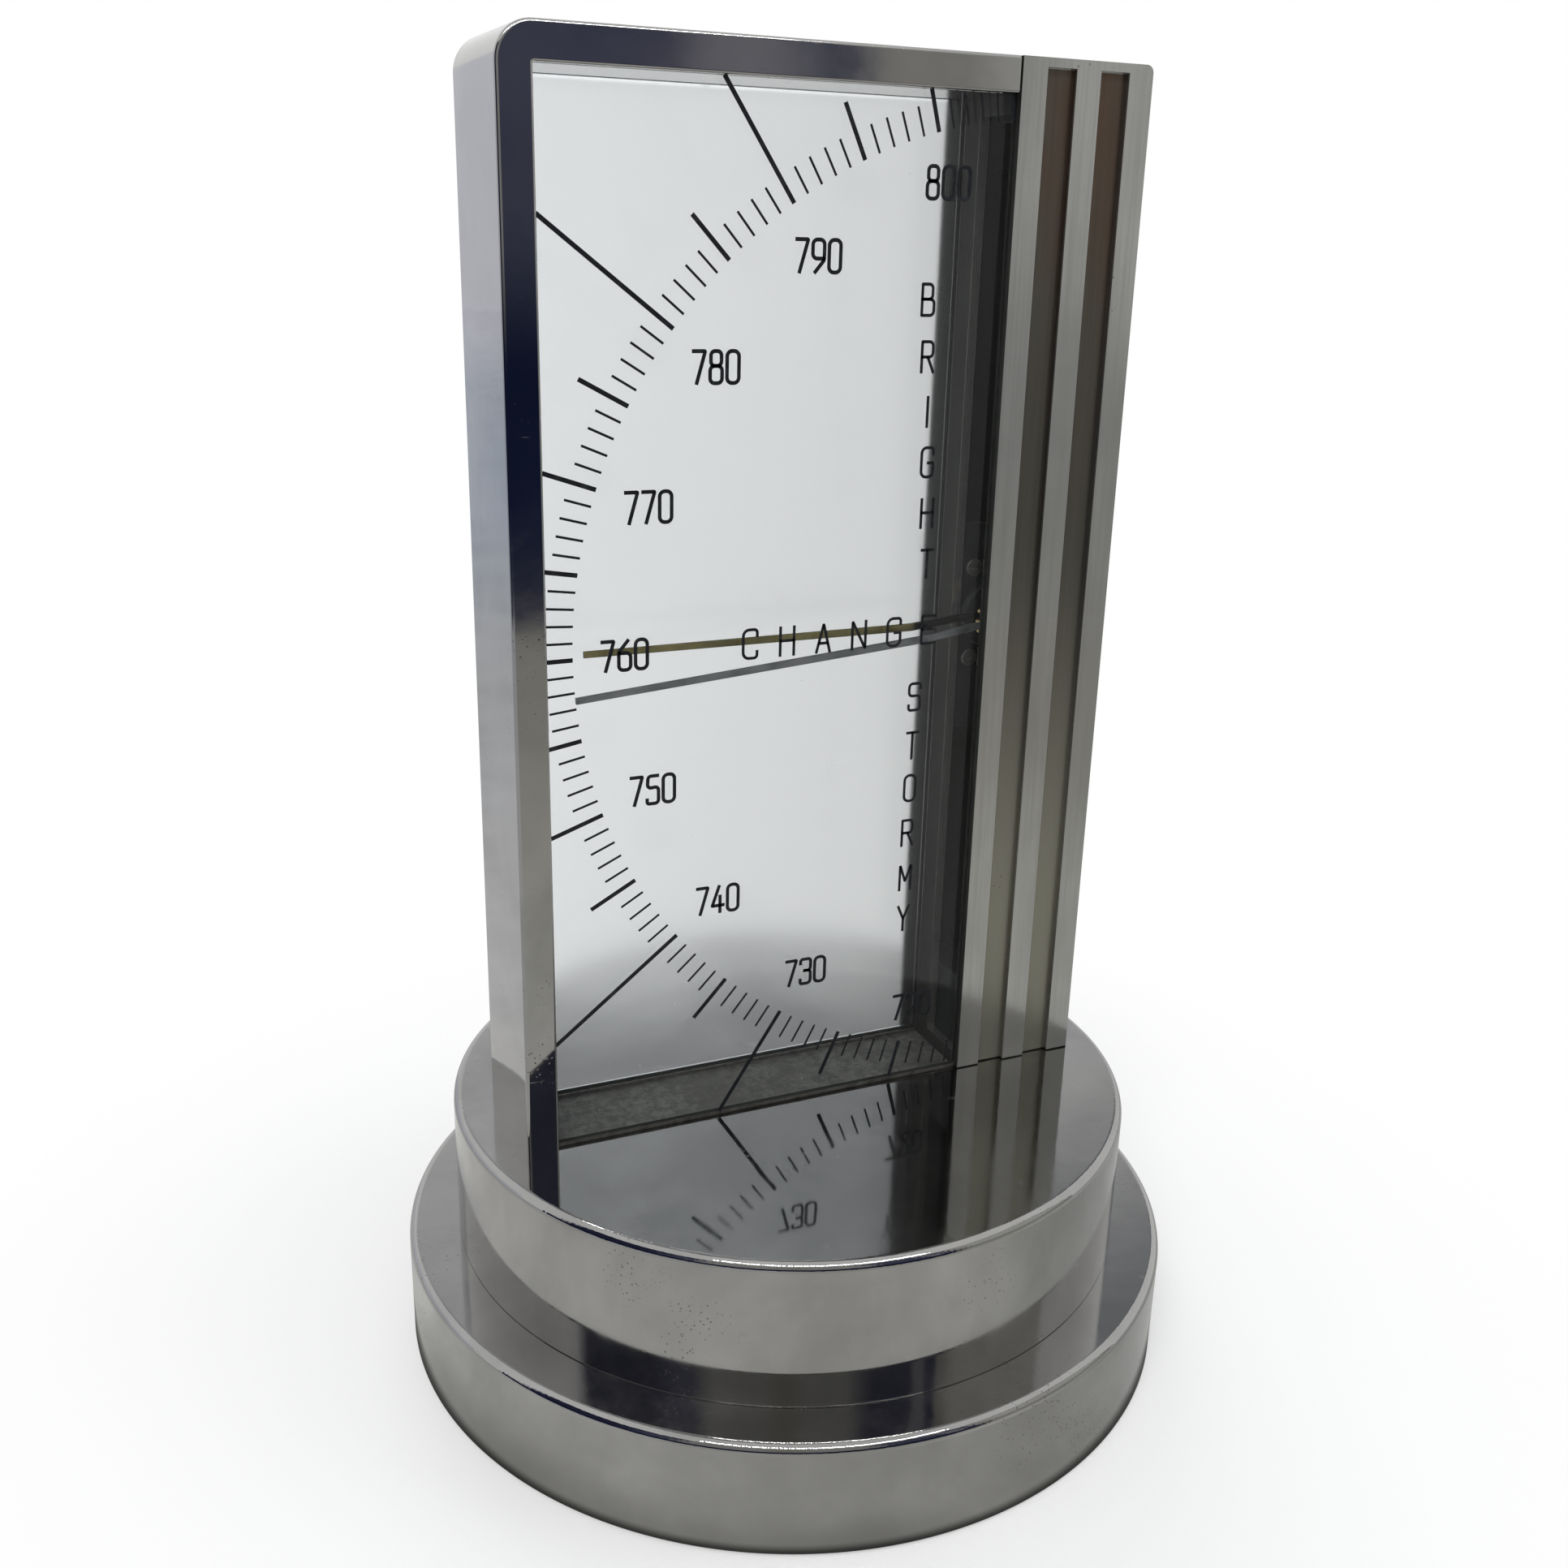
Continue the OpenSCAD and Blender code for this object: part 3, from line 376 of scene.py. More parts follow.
def chrome(name, tone, rough, haze, brush, dusty=None, beads=None):
    """Old plating: cloudy haze, wiped streaks, fine scratches and a few rust pits in clusters."""
    s = Shade(name)
    cloud = s.noise(38, 4, 0.55, distort=0.6)
    fine = s.noise(420, 5, 0.65)
    streak = s.noise(160, 4, 0.6, brush)
    hair = s.noise(900, 2, 0.5, (brush[0] * 0.25 + 0.02, brush[1] * 0.25 + 0.02, brush[2] * 3))
    scratch = s.band(hair, 0.7, 0.78)
    cluster = s.band(s.noise(55, 3, 0.6), 0.57, 0.7)
    pits = s.mul(s.fall(s.spots(1500), 0.12, 0.24), cluster)
    col = s.layers(
        s.mix(s.band(cloud, 0.3, 0.7), toned(tone, 0.86), toned(tone, 1.1)),
        (s.mul(s.band(streak, 0.45, 0.75), 0.25), toned(tone, 0.9)),
        (s.mul(pits, 0.55), (0.06, 0.045, 0.03)))
    r = s.plus(rough, s.mul(s.band(cloud, 0.42, 0.72), haze), s.mul(s.band(fine, 0.45, 0.8), haze * 0.35),
               s.mul(s.math("MAXIMUM", scratch, pits), 0.22))
    metal = 1.0
    n = s.bump(s.noise(75, 3, 0.5), 0.034)
    n = s.bump(s.noise(420, 3, 0.6), 0.0014, n)
    n = s.bump(scratch, 0.002, n)
    if beads is not None:
        edge = beads(s)
        r = s.mix(edge, r, (0.018, 0.018, 0.018))
        n = s.bump(s.mul(s.spots(1350, random=0.5), edge), -0.01, n)
    n = s.bump(pits, -0.005, n)
    # The dusty layer is real dust on the ledge; on the drum's top it is dust with painted shade between the panes.
    if dusty is not None:
        mask, dirt = dusty(s)
        col = s.mix(mask, col, dirt)
        r = s.mix(s.math("POWER", mask, 2.5), r, (0.75, 0.75, 0.75))
        metal = s.band(mask, 0.0, 1.0, 1.0, 0.05, soft=False)
        n = s.bump(s.mul(s.noise(1500, 5, 0.7), mask), 0.05, n)
    return s.done(Base_Color=col, Metallic=metal, Roughness=r, Normal=n)


def edge_at(top, radius):
    """Mask of the rounded edge at a height and radius, where the plating is finely dimpled."""
    def mask(s):
        return s.mul(s.band(s.xyz()[2], (top - 1.2) * MM, (top - 0.9) * MM),
                     s.band(s.radius(), (radius - 1.15) * MM, (radius - 0.9) * MM))
    return mask


def ledge_dust(s):
    """Thin dust on the lower tier's top, thicker in patches."""
    patch = s.band(s.noise(85, 4, 0.65), 0.4, 0.75, 0.01, 0.11)
    grain = s.band(s.noise(1400, 4, 0.7), 0.3, 0.7, 0.5, 1.3)
    return s.mul(patch, grain, s.band(s.facing()[2], 0.7, 0.95)), (0.13, 0.127, 0.118)


def shelf_dirt_and_shade(s):
    """Dust on the drum's top between the two panes, with crumbs near the bar, darkened further as painted shade."""
    x, y, z = s.xyz()
    strip = s.mul(s.between(y, FRONT_PANE[1] * MM, (REAR_PANE[0] + 0.1) * MM, 0.00035),
                  s.between(x, (BAR_X - 0.2) * MM, (PANE_X[1] + 0.35) * MM, 0.0002),
                  s.band(z, (DRUM_Z1 - 0.2) * MM, (DRUM_Z1 - 0.1) * MM))
    grain = s.noise(900, 6, 0.78)
    stain = s.noise(120, 3, 0.6)
    # Painted shade: these dirt tones are made very dark to stand for the shade between the panes.
    dirt = s.mix(s.band(grain, 0.4, 0.62), (0.012, 0.014, 0.011), (0.078, 0.08, 0.066))
    dirt = s.mix(s.mul(s.band(stain, 0.42, 0.66), 0.7), dirt, (0.018, 0.018, 0.014))
    return s.mul(strip, 0.9), dirt


def satin_column(name):
    """Plating brushed down the column: bright ridges, brown flutes, an olive left face, near-black painted shade
    inside.
    """
    s = Shade(name)
    x, y, z = s.xyz()
    grain = s.noise(260, 5, 0.62, (6, 6, 0.12))
    cloud = s.noise(45, 4, 0.6, (1.5, 1.5, 0.6))
    ridge = s.mix(s.band(cloud, 0.3, 0.7), (0.355, 0.355, 0.348), (0.45, 0.45, 0.438))
    ridge = s.mix(s.mul(s.band(grain, 0.4, 0.75), 0.35), ridge, (0.27, 0.27, 0.258))
    rust = s.mul(s.band(z, 0.1, 0.158), s.band(cloud, 0.35, 0.65))
    brown = s.layers(
        s.mix(rust, (0.115, 0.108, 0.092), (0.125, 0.085, 0.062)),
        (s.mul(s.band(grain, 0.4, 0.7), 0.4), (0.08, 0.075, 0.062)),
        (s.band(z, 0.11, 0.055), (0.275, 0.268, 0.222)))
    front, top, foot = -HALF_D * MM, TOP_Z * MM, DRUM_Z1 * MM
    flutes = s.mul(s.band(y, front + 0.0001, front + 0.0004), s.fall(y, front + 0.0010, front + 0.0012),
                   s.between(x, FLUTES_X[0] * MM, FLUTES_X[1] * MM, 0.0001), s.fall(z, top - 0.0012, top - 0.0010))
    olive = s.mix(s.band(cloud, 0.3, 0.7), (0.014, 0.015, 0.013), (0.025, 0.027, 0.023))
    left = s.mul(s.band(s.facing()[0], -0.6, -0.9), s.band(x, 0.0212, 0.02115))
    # Painted shade: the hollow inside the column is coloured near black for the shade in it.
    hollow_shade = s.mul(s.between(x, HOLLOW_X[0] * MM, HOLLOW_X[1] * MM, 0.00002),
                   s.band(y, front + 0.00155, front + 0.00162))
    pits = s.mul(s.fall(s.spots(700), 0.05, 0.12), s.band(cloud, 0.55, 0.65))
    joint = s.fall(s.plus(z, s.mul(s.noise(300, 3, 0.6), 0.0002)), foot + 0.00015, foot + 0.0004)
    col = s.layers(ridge, (flutes, brown), (left, olive), (hollow_shade, (0.005, 0.0055, 0.0065)),
                   (s.mul(pits, 0.7), (0.05, 0.045, 0.038)), (joint, (0.008, 0.008, 0.008)))
    r = s.plus(0.12, s.mul(grain, 0.14), s.mul(flutes, 0.22))
    n = s.bump(pits, -0.03, s.bump(grain, 0.006))
    dull = s.math("MAXIMUM", left, hollow_shade)
    return s.done(Base_Color=col, Metallic=s.band(dull, 0, 1, 0.9, 0.0, soft=False),
                  Roughness=s.mix(dull, r, (0.7, 0.7, 0.7)), Normal=n, Specular_IOR_Level=0.2)


def brushed(name, tone, rough, stretch=(6, 6, 0.3), stain=(0.08, 0.07, 0.055), amount=0.35):
    """Worked metal: fine grain along one direction, cloudy tarnish, small spots."""
    s = Shade(name)
    grain = s.noise(380, 4, 0.6, stretch)
    cloud = s.noise(90, 4, 0.62, distort=0.5)
    spot = s.mul(s.fall(s.spots(1500), 0.08, 0.18), s.band(cloud, 0.5, 0.62))
    stained = s.band(cloud, 0.45, 0.75)
    col = s.layers(
        s.mix(s.band(grain, 0.3, 0.75), toned(tone, 0.84), toned(tone, 1.1)),
        (s.mul(stained, amount), stain),
        (s.mul(spot, 0.6), stain))
    r = s.plus(rough, s.mul(grain, 0.14), s.mul(stained, 0.12))
    return s.done(Base_Color=col, Metallic=1.0, Roughness=r, Normal=s.bump(spot, -0.012, s.bump(grain, 0.008)))


def lacquer(name):
    """Black lacquer with a little orange peel, dust and rubbed spots."""
    s = Shade(name)
    dust = s.noise(260, 5, 0.7)
    worn = s.band(s.noise(70, 4, 0.6), 0.62, 0.75)
    col = s.layers(
        (0.006, 0.0065, 0.008),
        (s.mul(s.band(dust, 0.5, 0.75), 0.3), (0.024, 0.024, 0.022)),
        (s.mul(worn, 0.4), (0.02, 0.019, 0.018)))
    return s.done(Base_Color=col, Roughness=s.plus(0.5, s.mul(dust, 0.25)), Normal=s.bump(s.noise(1300, 2, 0.5), 0.01),
                  Specular_IOR_Level=0.25)


def glass(name, frost=None):
    """Clear glass, or ground glass of the roughness given. Its narrow sides are painted dark, as painted shade, and
    shadow rays pass, so that the pane doesn't darken what is behind it."""
    s = Shade(name)
    smudge = s.noise(60, 5, 0.62, distort=0.8)
    specks = s.mul(s.fall(s.spots(420), 0.03, 0.07), s.band(smudge, 0.5, 0.62))
    if frost is None:
        ior, through = 1.24, (0.95, 0.96, 0.96)
        col = s.mix(s.mul(specks, 0.5), (0.985, 0.992, 0.99), (0.8, 0.8, 0.77))
        r = s.plus(s.mul(s.band(smudge, 0.5, 0.8), 0.03), s.mul(specks, 0.3))
        normal = s.bump(s.noise(30, 2, 0.4), 0.006)
    else:
        ior, through = 1.5, (0.80, 0.82, 0.82)
        grain = s.noise(5200, 3, 0.6)
        col = s.layers(
            s.mix(s.band(s.noise(26, 3, 0.5), 0.25, 0.75), (0.715, 0.730, 0.742), (0.745, 0.758, 0.762)),
            # Painted shade: the ground glass is darker toward the column on the right.
            (s.band(s.xyz()[0], -0.036, 0.018, soft=False), (0.615, 0.625, 0.630)),
            (s.mul(specks, 0.25), (0.5, 0.5, 0.48)))
        r = s.plus(frost, s.mul(grain, 0.03))
        normal = s.bump(grain, 0.0006)
    pane = s.add("ShaderNodeBsdfPrincipled", {"Base Color": col, "Roughness": r, "IOR": ior,
                                              "Transmission Weight": 1.0, "Normal": normal})[0]
    # Painted shade: the narrow sides are a dark diffuse, for the shade where the panes sit in the frame.
    dark = s.mix(smudge, (0.012, 0.014, 0.013), (0.035, 0.037, 0.034))
    edge = s.add("ShaderNodeBsdfDiffuse", {"Color": dark})[0]
    clear = s.add("ShaderNodeBsdfTransparent", {"Color": through})[0]
    body = s.over(s.fall(s.math("ABSOLUTE", s.facing()[1]), 0.35, 0.75), pane, edge)
    s.output(s.over(s.rays("Shadow"), body, clear))
    return s.mat


def enamel(name):
    """Fired black print: slightly glossy, thinner in places."""
    s = Shade(name)
    thin = s.noise(700, 5, 0.7)
    col = s.mix(s.band(thin, 0.45, 0.8), (0.005, 0.006, 0.009), (0.022, 0.024, 0.028))
    r = s.plus(0.28, s.mul(s.noise(120, 3, 0.5), 0.25))
    return s.done(Base_Color=col, Roughness=r, Normal=s.bump(thin, 0.004), Specular_IOR_Level=0.25)


def hand_finish(name, near, far, root, root_r):
    """A hand: dark root as far as root_r from its axis, metal farther out, dirt along its length."""
    s = Shade(name)
    grain = s.noise(420, 4, 0.6, (0.3, 5, 5))
    cloud = s.noise(170, 3, 0.6)
    end = (HAND_X - root_r) * MM
    dark = s.band(s.xyz()[0], end - 0.0006, end + 0.0006)
    col = s.layers(
        s.mix(s.band(cloud, 0.35, 0.65), near, far),
        (s.mul(s.band(grain, 0.45, 0.75), 0.35), toned(near, 0.45)),
        (dark, root))
    return s.done(Base_Color=col, Metallic=s.band(dark, 0, 1, 0.8, 0.0, soft=False), Specular_IOR_Level=0.2,
                  Roughness=s.plus(0.32, s.mul(grain, 0.18)), Normal=s.bump(grain, 0.006))


def felt(name):
    """Pressed wool: mottled green-grey fibres with fuzz."""
    s = Shade(name)
    fibre = s.noise(2200, 6, 0.75, (1, 1, 0.4))
    patch = s.band(s.noise(140, 3, 0.5), 0.4, 0.7)
    col = s.mix(s.band(fibre, 0.3, 0.7), (0.03, 0.045, 0.036), (0.075, 0.1, 0.085))
    col = s.mix(s.mul(patch, 0.3), col, (0.05, 0.055, 0.05))
    return s.done(Base_Color=col, Roughness=0.95, Normal=s.bump(fibre, 0.12), Sheen_Weight=0.4, Sheen_Roughness=0.6)


def putty(name):
    """Old packing under the panes: dark, cracked and dusty."""
    s = Shade(name)
    crack = s.noise(900, 6, 0.75)
    dust = s.band(s.noise(200, 4, 0.6), 0.45, 0.7)
    col = s.mix(s.band(crack, 0.35, 0.65), (0.018, 0.017, 0.015), (0.05, 0.047, 0.04))
    col = s.mix(s.mul(dust, 0.5), col, (0.05, 0.049, 0.043))
    return s.done(Base_Color=col, Roughness=0.85, Normal=s.bump(crack, 0.05))


# Strokes of each glyph in a unit box: o closed or - open, the rounding of its corners, then x, z of its points
GLYPHS = {
    "0": [("o", 0.42, 0, 0, 1, 0, 1, 1, 0, 1)],
    "2": [("-", 0.34, 0, 0.78, 0, 1, 1, 1, 1, 0.55, 0, 0, 1.02, 0)],
    "3": [("-", 0.3, 0, 0.82, 0, 1, 1, 1, 1, 0.53, 0.38, 0.53), ("-", 0.34, 0.38, 0.53, 1, 0.53, 1, 0, 0, 0, 0, 0.18)],
    "4": [("-", 0, 0.72, 0, 0.72, 0.62), ("-", 0.02, 0.62, 1, 0, 0.26, 1.05, 0.26)],
    "5": [("-", 0.3, 0.95, 1, 0.08, 1, 0.02, 0.56, 1, 0.6, 1, 0, 0, 0, 0, 0.16)],
    "6": [("-", 0.38, 0.78, 1, 0, 0.62, 0, 0, 1, 0, 1, 0.58, 0.05, 0.58)],
    "7": [("-", 0.06, 0, 1, 1, 1, 0.3, 0)],
    "8": [("o", 0.34, 0.06, 0.54, 0.94, 0.54, 0.94, 1, 0.06, 1), ("o", 0.38, 0, 0, 1, 0, 1, 0.54, 0, 0.54)],
    "9": [("-", 0.38, 0.22, 0, 1, 0.38, 1, 1, 0, 1, 0, 0.42, 0.95, 0.42)],
    "A": [("-", 0.02, 0, 0, 0.5, 1, 1, 0), ("-", 0, 0.18, 0.32, 0.82, 0.32)],
    "B": [("o", (0.02, 0.3, 0.3, 0.02), 0, 0.52, 0.86, 0.52, 0.86, 1, 0, 1),
          ("o", (0.02, 0.32, 0.32, 0.02), 0, 0, 1, 0, 1, 0.52, 0, 0.52)],
    "C": [("-", 0.42, 1, 0.76, 1, 1, 0, 1, 0, 0, 1, 0, 1, 0.24)],
    "E": [("-", 0.02, 1, 1, 0, 1, 0, 0, 1, 0), ("-", 0, 0, 0.52, 0.86, 0.52)],
    "G": [("-", (0, 0.42, 0.42, 0.42, 0.42, 0.02, 0), 1, 0.78, 1, 1, 0, 1, 0, 0, 1, 0, 1, 0.48, 0.55, 0.48)],
    "H": [("-", 0, 0, 0, 0, 1), ("-", 0, 1, 0, 1, 1), ("-", 0, 0, 0.52, 1, 0.52)],
    "I": [("-", 0, 0.5, 0, 0.5, 1)],
    "M": [("-", 0.02, 0, 0, 0, 1, 0.5, 0.35, 1, 1, 1, 0)],
    "N": [("-", 0.02, 0, 0, 0, 1, 1, 0, 1, 1)],
    "O": [("o", 0.44, 0, 0, 1, 0, 1, 1, 0, 1)],
    "R": [("-", (0, 0.02, 0.32, 0.32, 0), 0, 0, 0, 1, 0.92, 1, 0.92, 0.5, 0, 0.5), ("-", 0, 0.5, 0.5, 1, 0)],
    "S": [("-", 0.3, 1, 0.8, 1, 1, 0, 1, 0, 0.54, 1, 0.54, 1, 0, 0, 0, 0, 0.2)],
    "T": [("-", 0, 0, 1, 1, 1), ("-", 0, 0.5, 0, 0.5, 1)],
    "Y": [("-", 0.02, 0, 1, 0.5, 0.48, 1, 1), ("-", 0, 0.5, 0, 0.5, 0.5)],
}


def ribbon(path, width, closed):
    """Strip of the given width along a flat path: at each point p -/+ w/2 times the mitred normal m / (m . n)."""
    p = np.asarray(path, float)
    keep = np.r_[True, np.linalg.norm(np.diff(p, axis=0), axis=1) > 1e-5]
    p = p[keep]
    if closed and np.linalg.norm(p[0] - p[-1]) < 1e-5:
        p = p[:-1]
    d_next = np.roll(p, -1, 0) - p
    if not closed:
        d_next[-1] = d_next[-2]
    d_next /= np.linalg.norm(d_next, axis=1)[:, None]
    d_prev = np.roll(d_next, 1, 0)
    if not closed:
        d_prev[0] = d_next[0]
        p[0] -= d_next[0] * width * 0.35
        p[-1] += d_next[-1] * width * 0.35
    n1 = np.stack([-d_prev[:, 1], d_prev[:, 0]], -1)
    n2 = np.stack([-d_next[:, 1], d_next[:, 0]], -1)
    m = n1 + n2
    m /= np.linalg.norm(m, axis=1)[:, None]
    m /= np.maximum((m * n2).sum(1), 0.45)[:, None]
    return np.stack([p - m * width / 2, p + m * width / 2], 1)


class Print:
    """Collects flat strips on the front glass, later made one mesh."""

    def __init__(self):
        self.co, self.faces, self.count = [], [], 0

    def take(self, co, faces):
        self.faces.append(faces + self.count)
        self.co.append(co.reshape(-1, 2))
        self.count += len(self.co[-1])

    def glyph(self, ch, cx, cz, h, w, pen):
        for kind, r, *xz in GLYPHS[ch]:
            closed = kind == "o"
            path = fillet(np.reshape(xz, (-1, 2)) * [w, h], np.asarray(r, float) * w, closed, steps=9)
            pairs = ribbon(path + [cx - w / 2, cz - h / 2], pen, closed)
            self.take(pairs, grid_faces(len(pairs), 2, wrap_u=closed))

    def number(self, text, cx, cz, h, w, pen, step):
        for k, ch in enumerate(text):
            self.glyph(ch, cx + (k - (len(text) - 1) / 2) * step, cz, h, w, pen)

    def quads(self, corners):
        """Takes n quads from their corners, (n, 4, 2)."""
        self.take(corners, np.arange(4 * len(corners)).reshape(-1, 4))


def scale_marks(pr, sizes):
    """Marks of the dial: at value v the angle is (v - 760) 1.885 - 0.46 degrees, the point c + r (-cos, sin).

    Fine marks at every unit, longer bold ones at every fifth, and every tenth runs on to the edge of the glass."""
    v = np.arange(715, 806)
    a = np.radians((v - 760) * 1.885 - 0.46)
    ten, five = v % 10 == 0, v % 5 == 0
    x_lo, x_hi, z_lo, z_hi = BAR_X + 0.02, PANE_X[1] - 0.35, PANE_Z[0] + 0.05, BAR_Z - 0.02
    up = np.maximum(np.abs(np.sin(a)), 1e-6)
    reach = np.minimum((SCALE_X - x_lo) / np.maximum(np.cos(a), 1e-6),
                       np.where(np.sin(a) > 0, z_hi - SCALE_Z, SCALE_Z - z_lo) / up)
    r0 = sizes.mark_inner
    want = np.where(ten, 500.0, r0 + np.where(five, sizes.five_length, sizes.unit_length))
    r1 = np.minimum(want, reach)
    w = np.where(five, sizes.five_width, sizes.unit_width)
    d = np.stack([-np.cos(a), np.sin(a)], -1)
    n = np.stack([np.sin(a), np.cos(a)], -1) * (w / 2)[:, None]
    c = np.array([SCALE_X, SCALE_Z])
    p0, p1 = c + d * r0, c + d * r1[:, None]
    ok = (r1 > r0 + 0.4) & (p0[:, 0] < x_hi) & (p1[:, 0] < x_hi)
    pr.quads(np.stack([p0 - n, p1 - n, p1 + n, p0 + n], 1)[ok])


def length(name, text, default, lo, hi):
    return bpy.props.FloatProperty(name=name, description=text + ", in mm", default=default, min=lo, max=hi)


def amount(name, text, default, hi):
    return bpy.props.FloatProperty(name=name, description=text, default=default, min=0, max=hi)


class BaroSizes(bpy.types.PropertyGroup):
    mark_inner: length("Inner radius of the marks", "Radius at which every mark starts", 57.9, 50, 60)
    unit_length: length("Unit mark", "Length of the marks at each unit", 3.15, 1, 6)
    five_length: length("Five mark", "Length of the marks at each fifth unit", 6.26, 2, 10)
    unit_width: length("Unit width", "Width of the fine marks", 0.28, 0.1, 0.6)
    five_width: length("Five width", "Width of the bold marks", 0.52, 0.1, 0.9)
    numeral_h: length("Numeral height", "Height of the numerals", 3.4, 2, 5)
    numeral_w: length("Numeral width", "Width of one numeral", 1.4, 1, 3)
    numeral_step: length("Numeral step", "Distance from one numeral to the next", 1.98, 1.5, 4)
    pen: length("Pen", "Stroke of the numerals", 0.43, 0.1, 0.6)
    letter_pen: length("Letter pen", "Stroke of the letters", 0.36, 0.1, 0.6)
    bar_edge: length("Bar edge", "Rounding of the bent bar's edges", 0.42, 0.1, 0.9)
    glass_edge: length("Glass edge", "Rounding of the panes' edges", 0.12, 0.02, 0.4)
    column_edge: length("Column edge", "Rounding of the column's edges", 0.16, 0.05, 0.4)


class BaroFinish(bpy.types.PropertyGroup):
    chrome_tone: bpy.props.FloatVectorProperty(name="Chrome", description="Colour of the old plating", subtype="COLOR",
                                               default=(0.345, 0.342, 0.335), min=0, max=1)
    chrome_rough: amount("Chrome roughness", "Roughness of the plating where it is clean", 0.045, 0.5)
    chrome_haze: amount("Chrome haze", "Roughness that the cloudy haze adds", 0.10, 0.5)
    frost: amount("Frost", "Roughness of the ground glass", 0.19, 1)


def plating(finish, k=1.0):
    """Colour, roughness and haze of the chrome, the last two times k."""
    return tuple(finish.chrome_tone), finish.chrome_rough * k, finish.chrome_haze * k


class Piece:
    bl_options = {"REGISTER", "UNDO"}

    def execute(self, context):
        self.build(context.scene.baro_sizes, context.scene.baro_finish)
        return {"FINISHED"}


class BARO_OT_base(Piece, bpy.types.Operator):
    """Spins the two tiers of the base, with holes for what passes through the upper one, and lays felt under them"""
    bl_idname = "baro.base"
    bl_label = "Base"

    def build(self, sizes, finish):
        self.ring(finish)
        self.drum(finish)
        self.pad()

    def ring(self, finish):
        bore_r, inner_r, seat_r, ceiling, seat_z = 43.45, 49.0, 49.65, 13.0, 3.2
        ring = [(seat_r, RING_Z0), (RING_R, RING_Z0), (RING_R, RING_Z1), (bore_r, RING_Z1), (bore_r, ceiling),
                (inner_r, ceiling), (inner_r, seat_z), (seat_r, seat_z)]
        prof = fillet(ring, [0.15, 0.25, EDGE_R, 0.05, 0.1, 0.3, 0.05, 0.1], steps=12)
        mat = chrome("spun_chrome", *plating(finish), (1, 1, 0.2), ledge_dust, edge_at(RING_Z1, RING_R))
        settle(revolve("base_lower_tier", prof), "base_ring", mat)

    def drum(self, finish):
        spigot_r, inner_r, spigot_z, ceiling = 43.4, 42.5, 13.8, 32.0
        drum = [(0.0, DRUM_Z1), (DRUM_R, DRUM_Z1), (DRUM_R, RING_Z1 + 0.03), (spigot_r, RING_Z1), (spigot_r, spigot_z),
                (inner_r, spigot_z), (inner_r, ceiling), (0.0, ceiling)]
        prof = fillet(drum, [0, EDGE_R, 0.12, 0.05, 0.1, 0.1, 0.6, 0], closed=False, steps=12)
        ob = revolve("base_upper_tier", np.concatenate([prof, [[0.0, 33.0]]]))
        foot_screws, link_rod = ((25.3, -3.5, 1.65), (34.3, -3.5, 1.65)), (28.664, 4.1, 1.7)
        bore(ob, [(x, y, 1.3) for x, y in BAR_SCREWS] + [*foot_screws, link_rod], 31, 35)
        mat = chrome("drum_chrome", *plating(finish), (1, 1, 0.2), shelf_dirt_and_shade, edge_at(DRUM_Z1, DRUM_R))
        settle(ob, "base_drum", mat)

    def pad(self):
        """Disc with a slightly wavy edge, holes for the bottom screws and one for a screwdriver."""
        t = turn(360).T
        edge = 48.78 + 0.06 * np.sin(23 * t) * np.cos(41 * t + 1.0) + 0.05 * np.sin(67 * t)
        inset = np.array([-0.35, 0.0, 0.05, 0.0, -0.35])[:, None]
        z = np.array([0.0, 0.25, 0.6, 0.95, 1.2])[:, None]
        ob = grid_object("felt", round_z(edge + inset, t, z), False, True, sharp=80)
        a = np.radians([90, 210, 330])
        screws = [*zip(37 * np.cos(a), 37 * np.sin(a)), (-31.5, -5.0), (-31.5, 5.0)]
        bore(ob, [(x, y, 3.4) for x, y in screws] + [(0.0, 0.0, 3.0)], -1, 2)
        settle(ob, "felt_pad", felt("felt"))


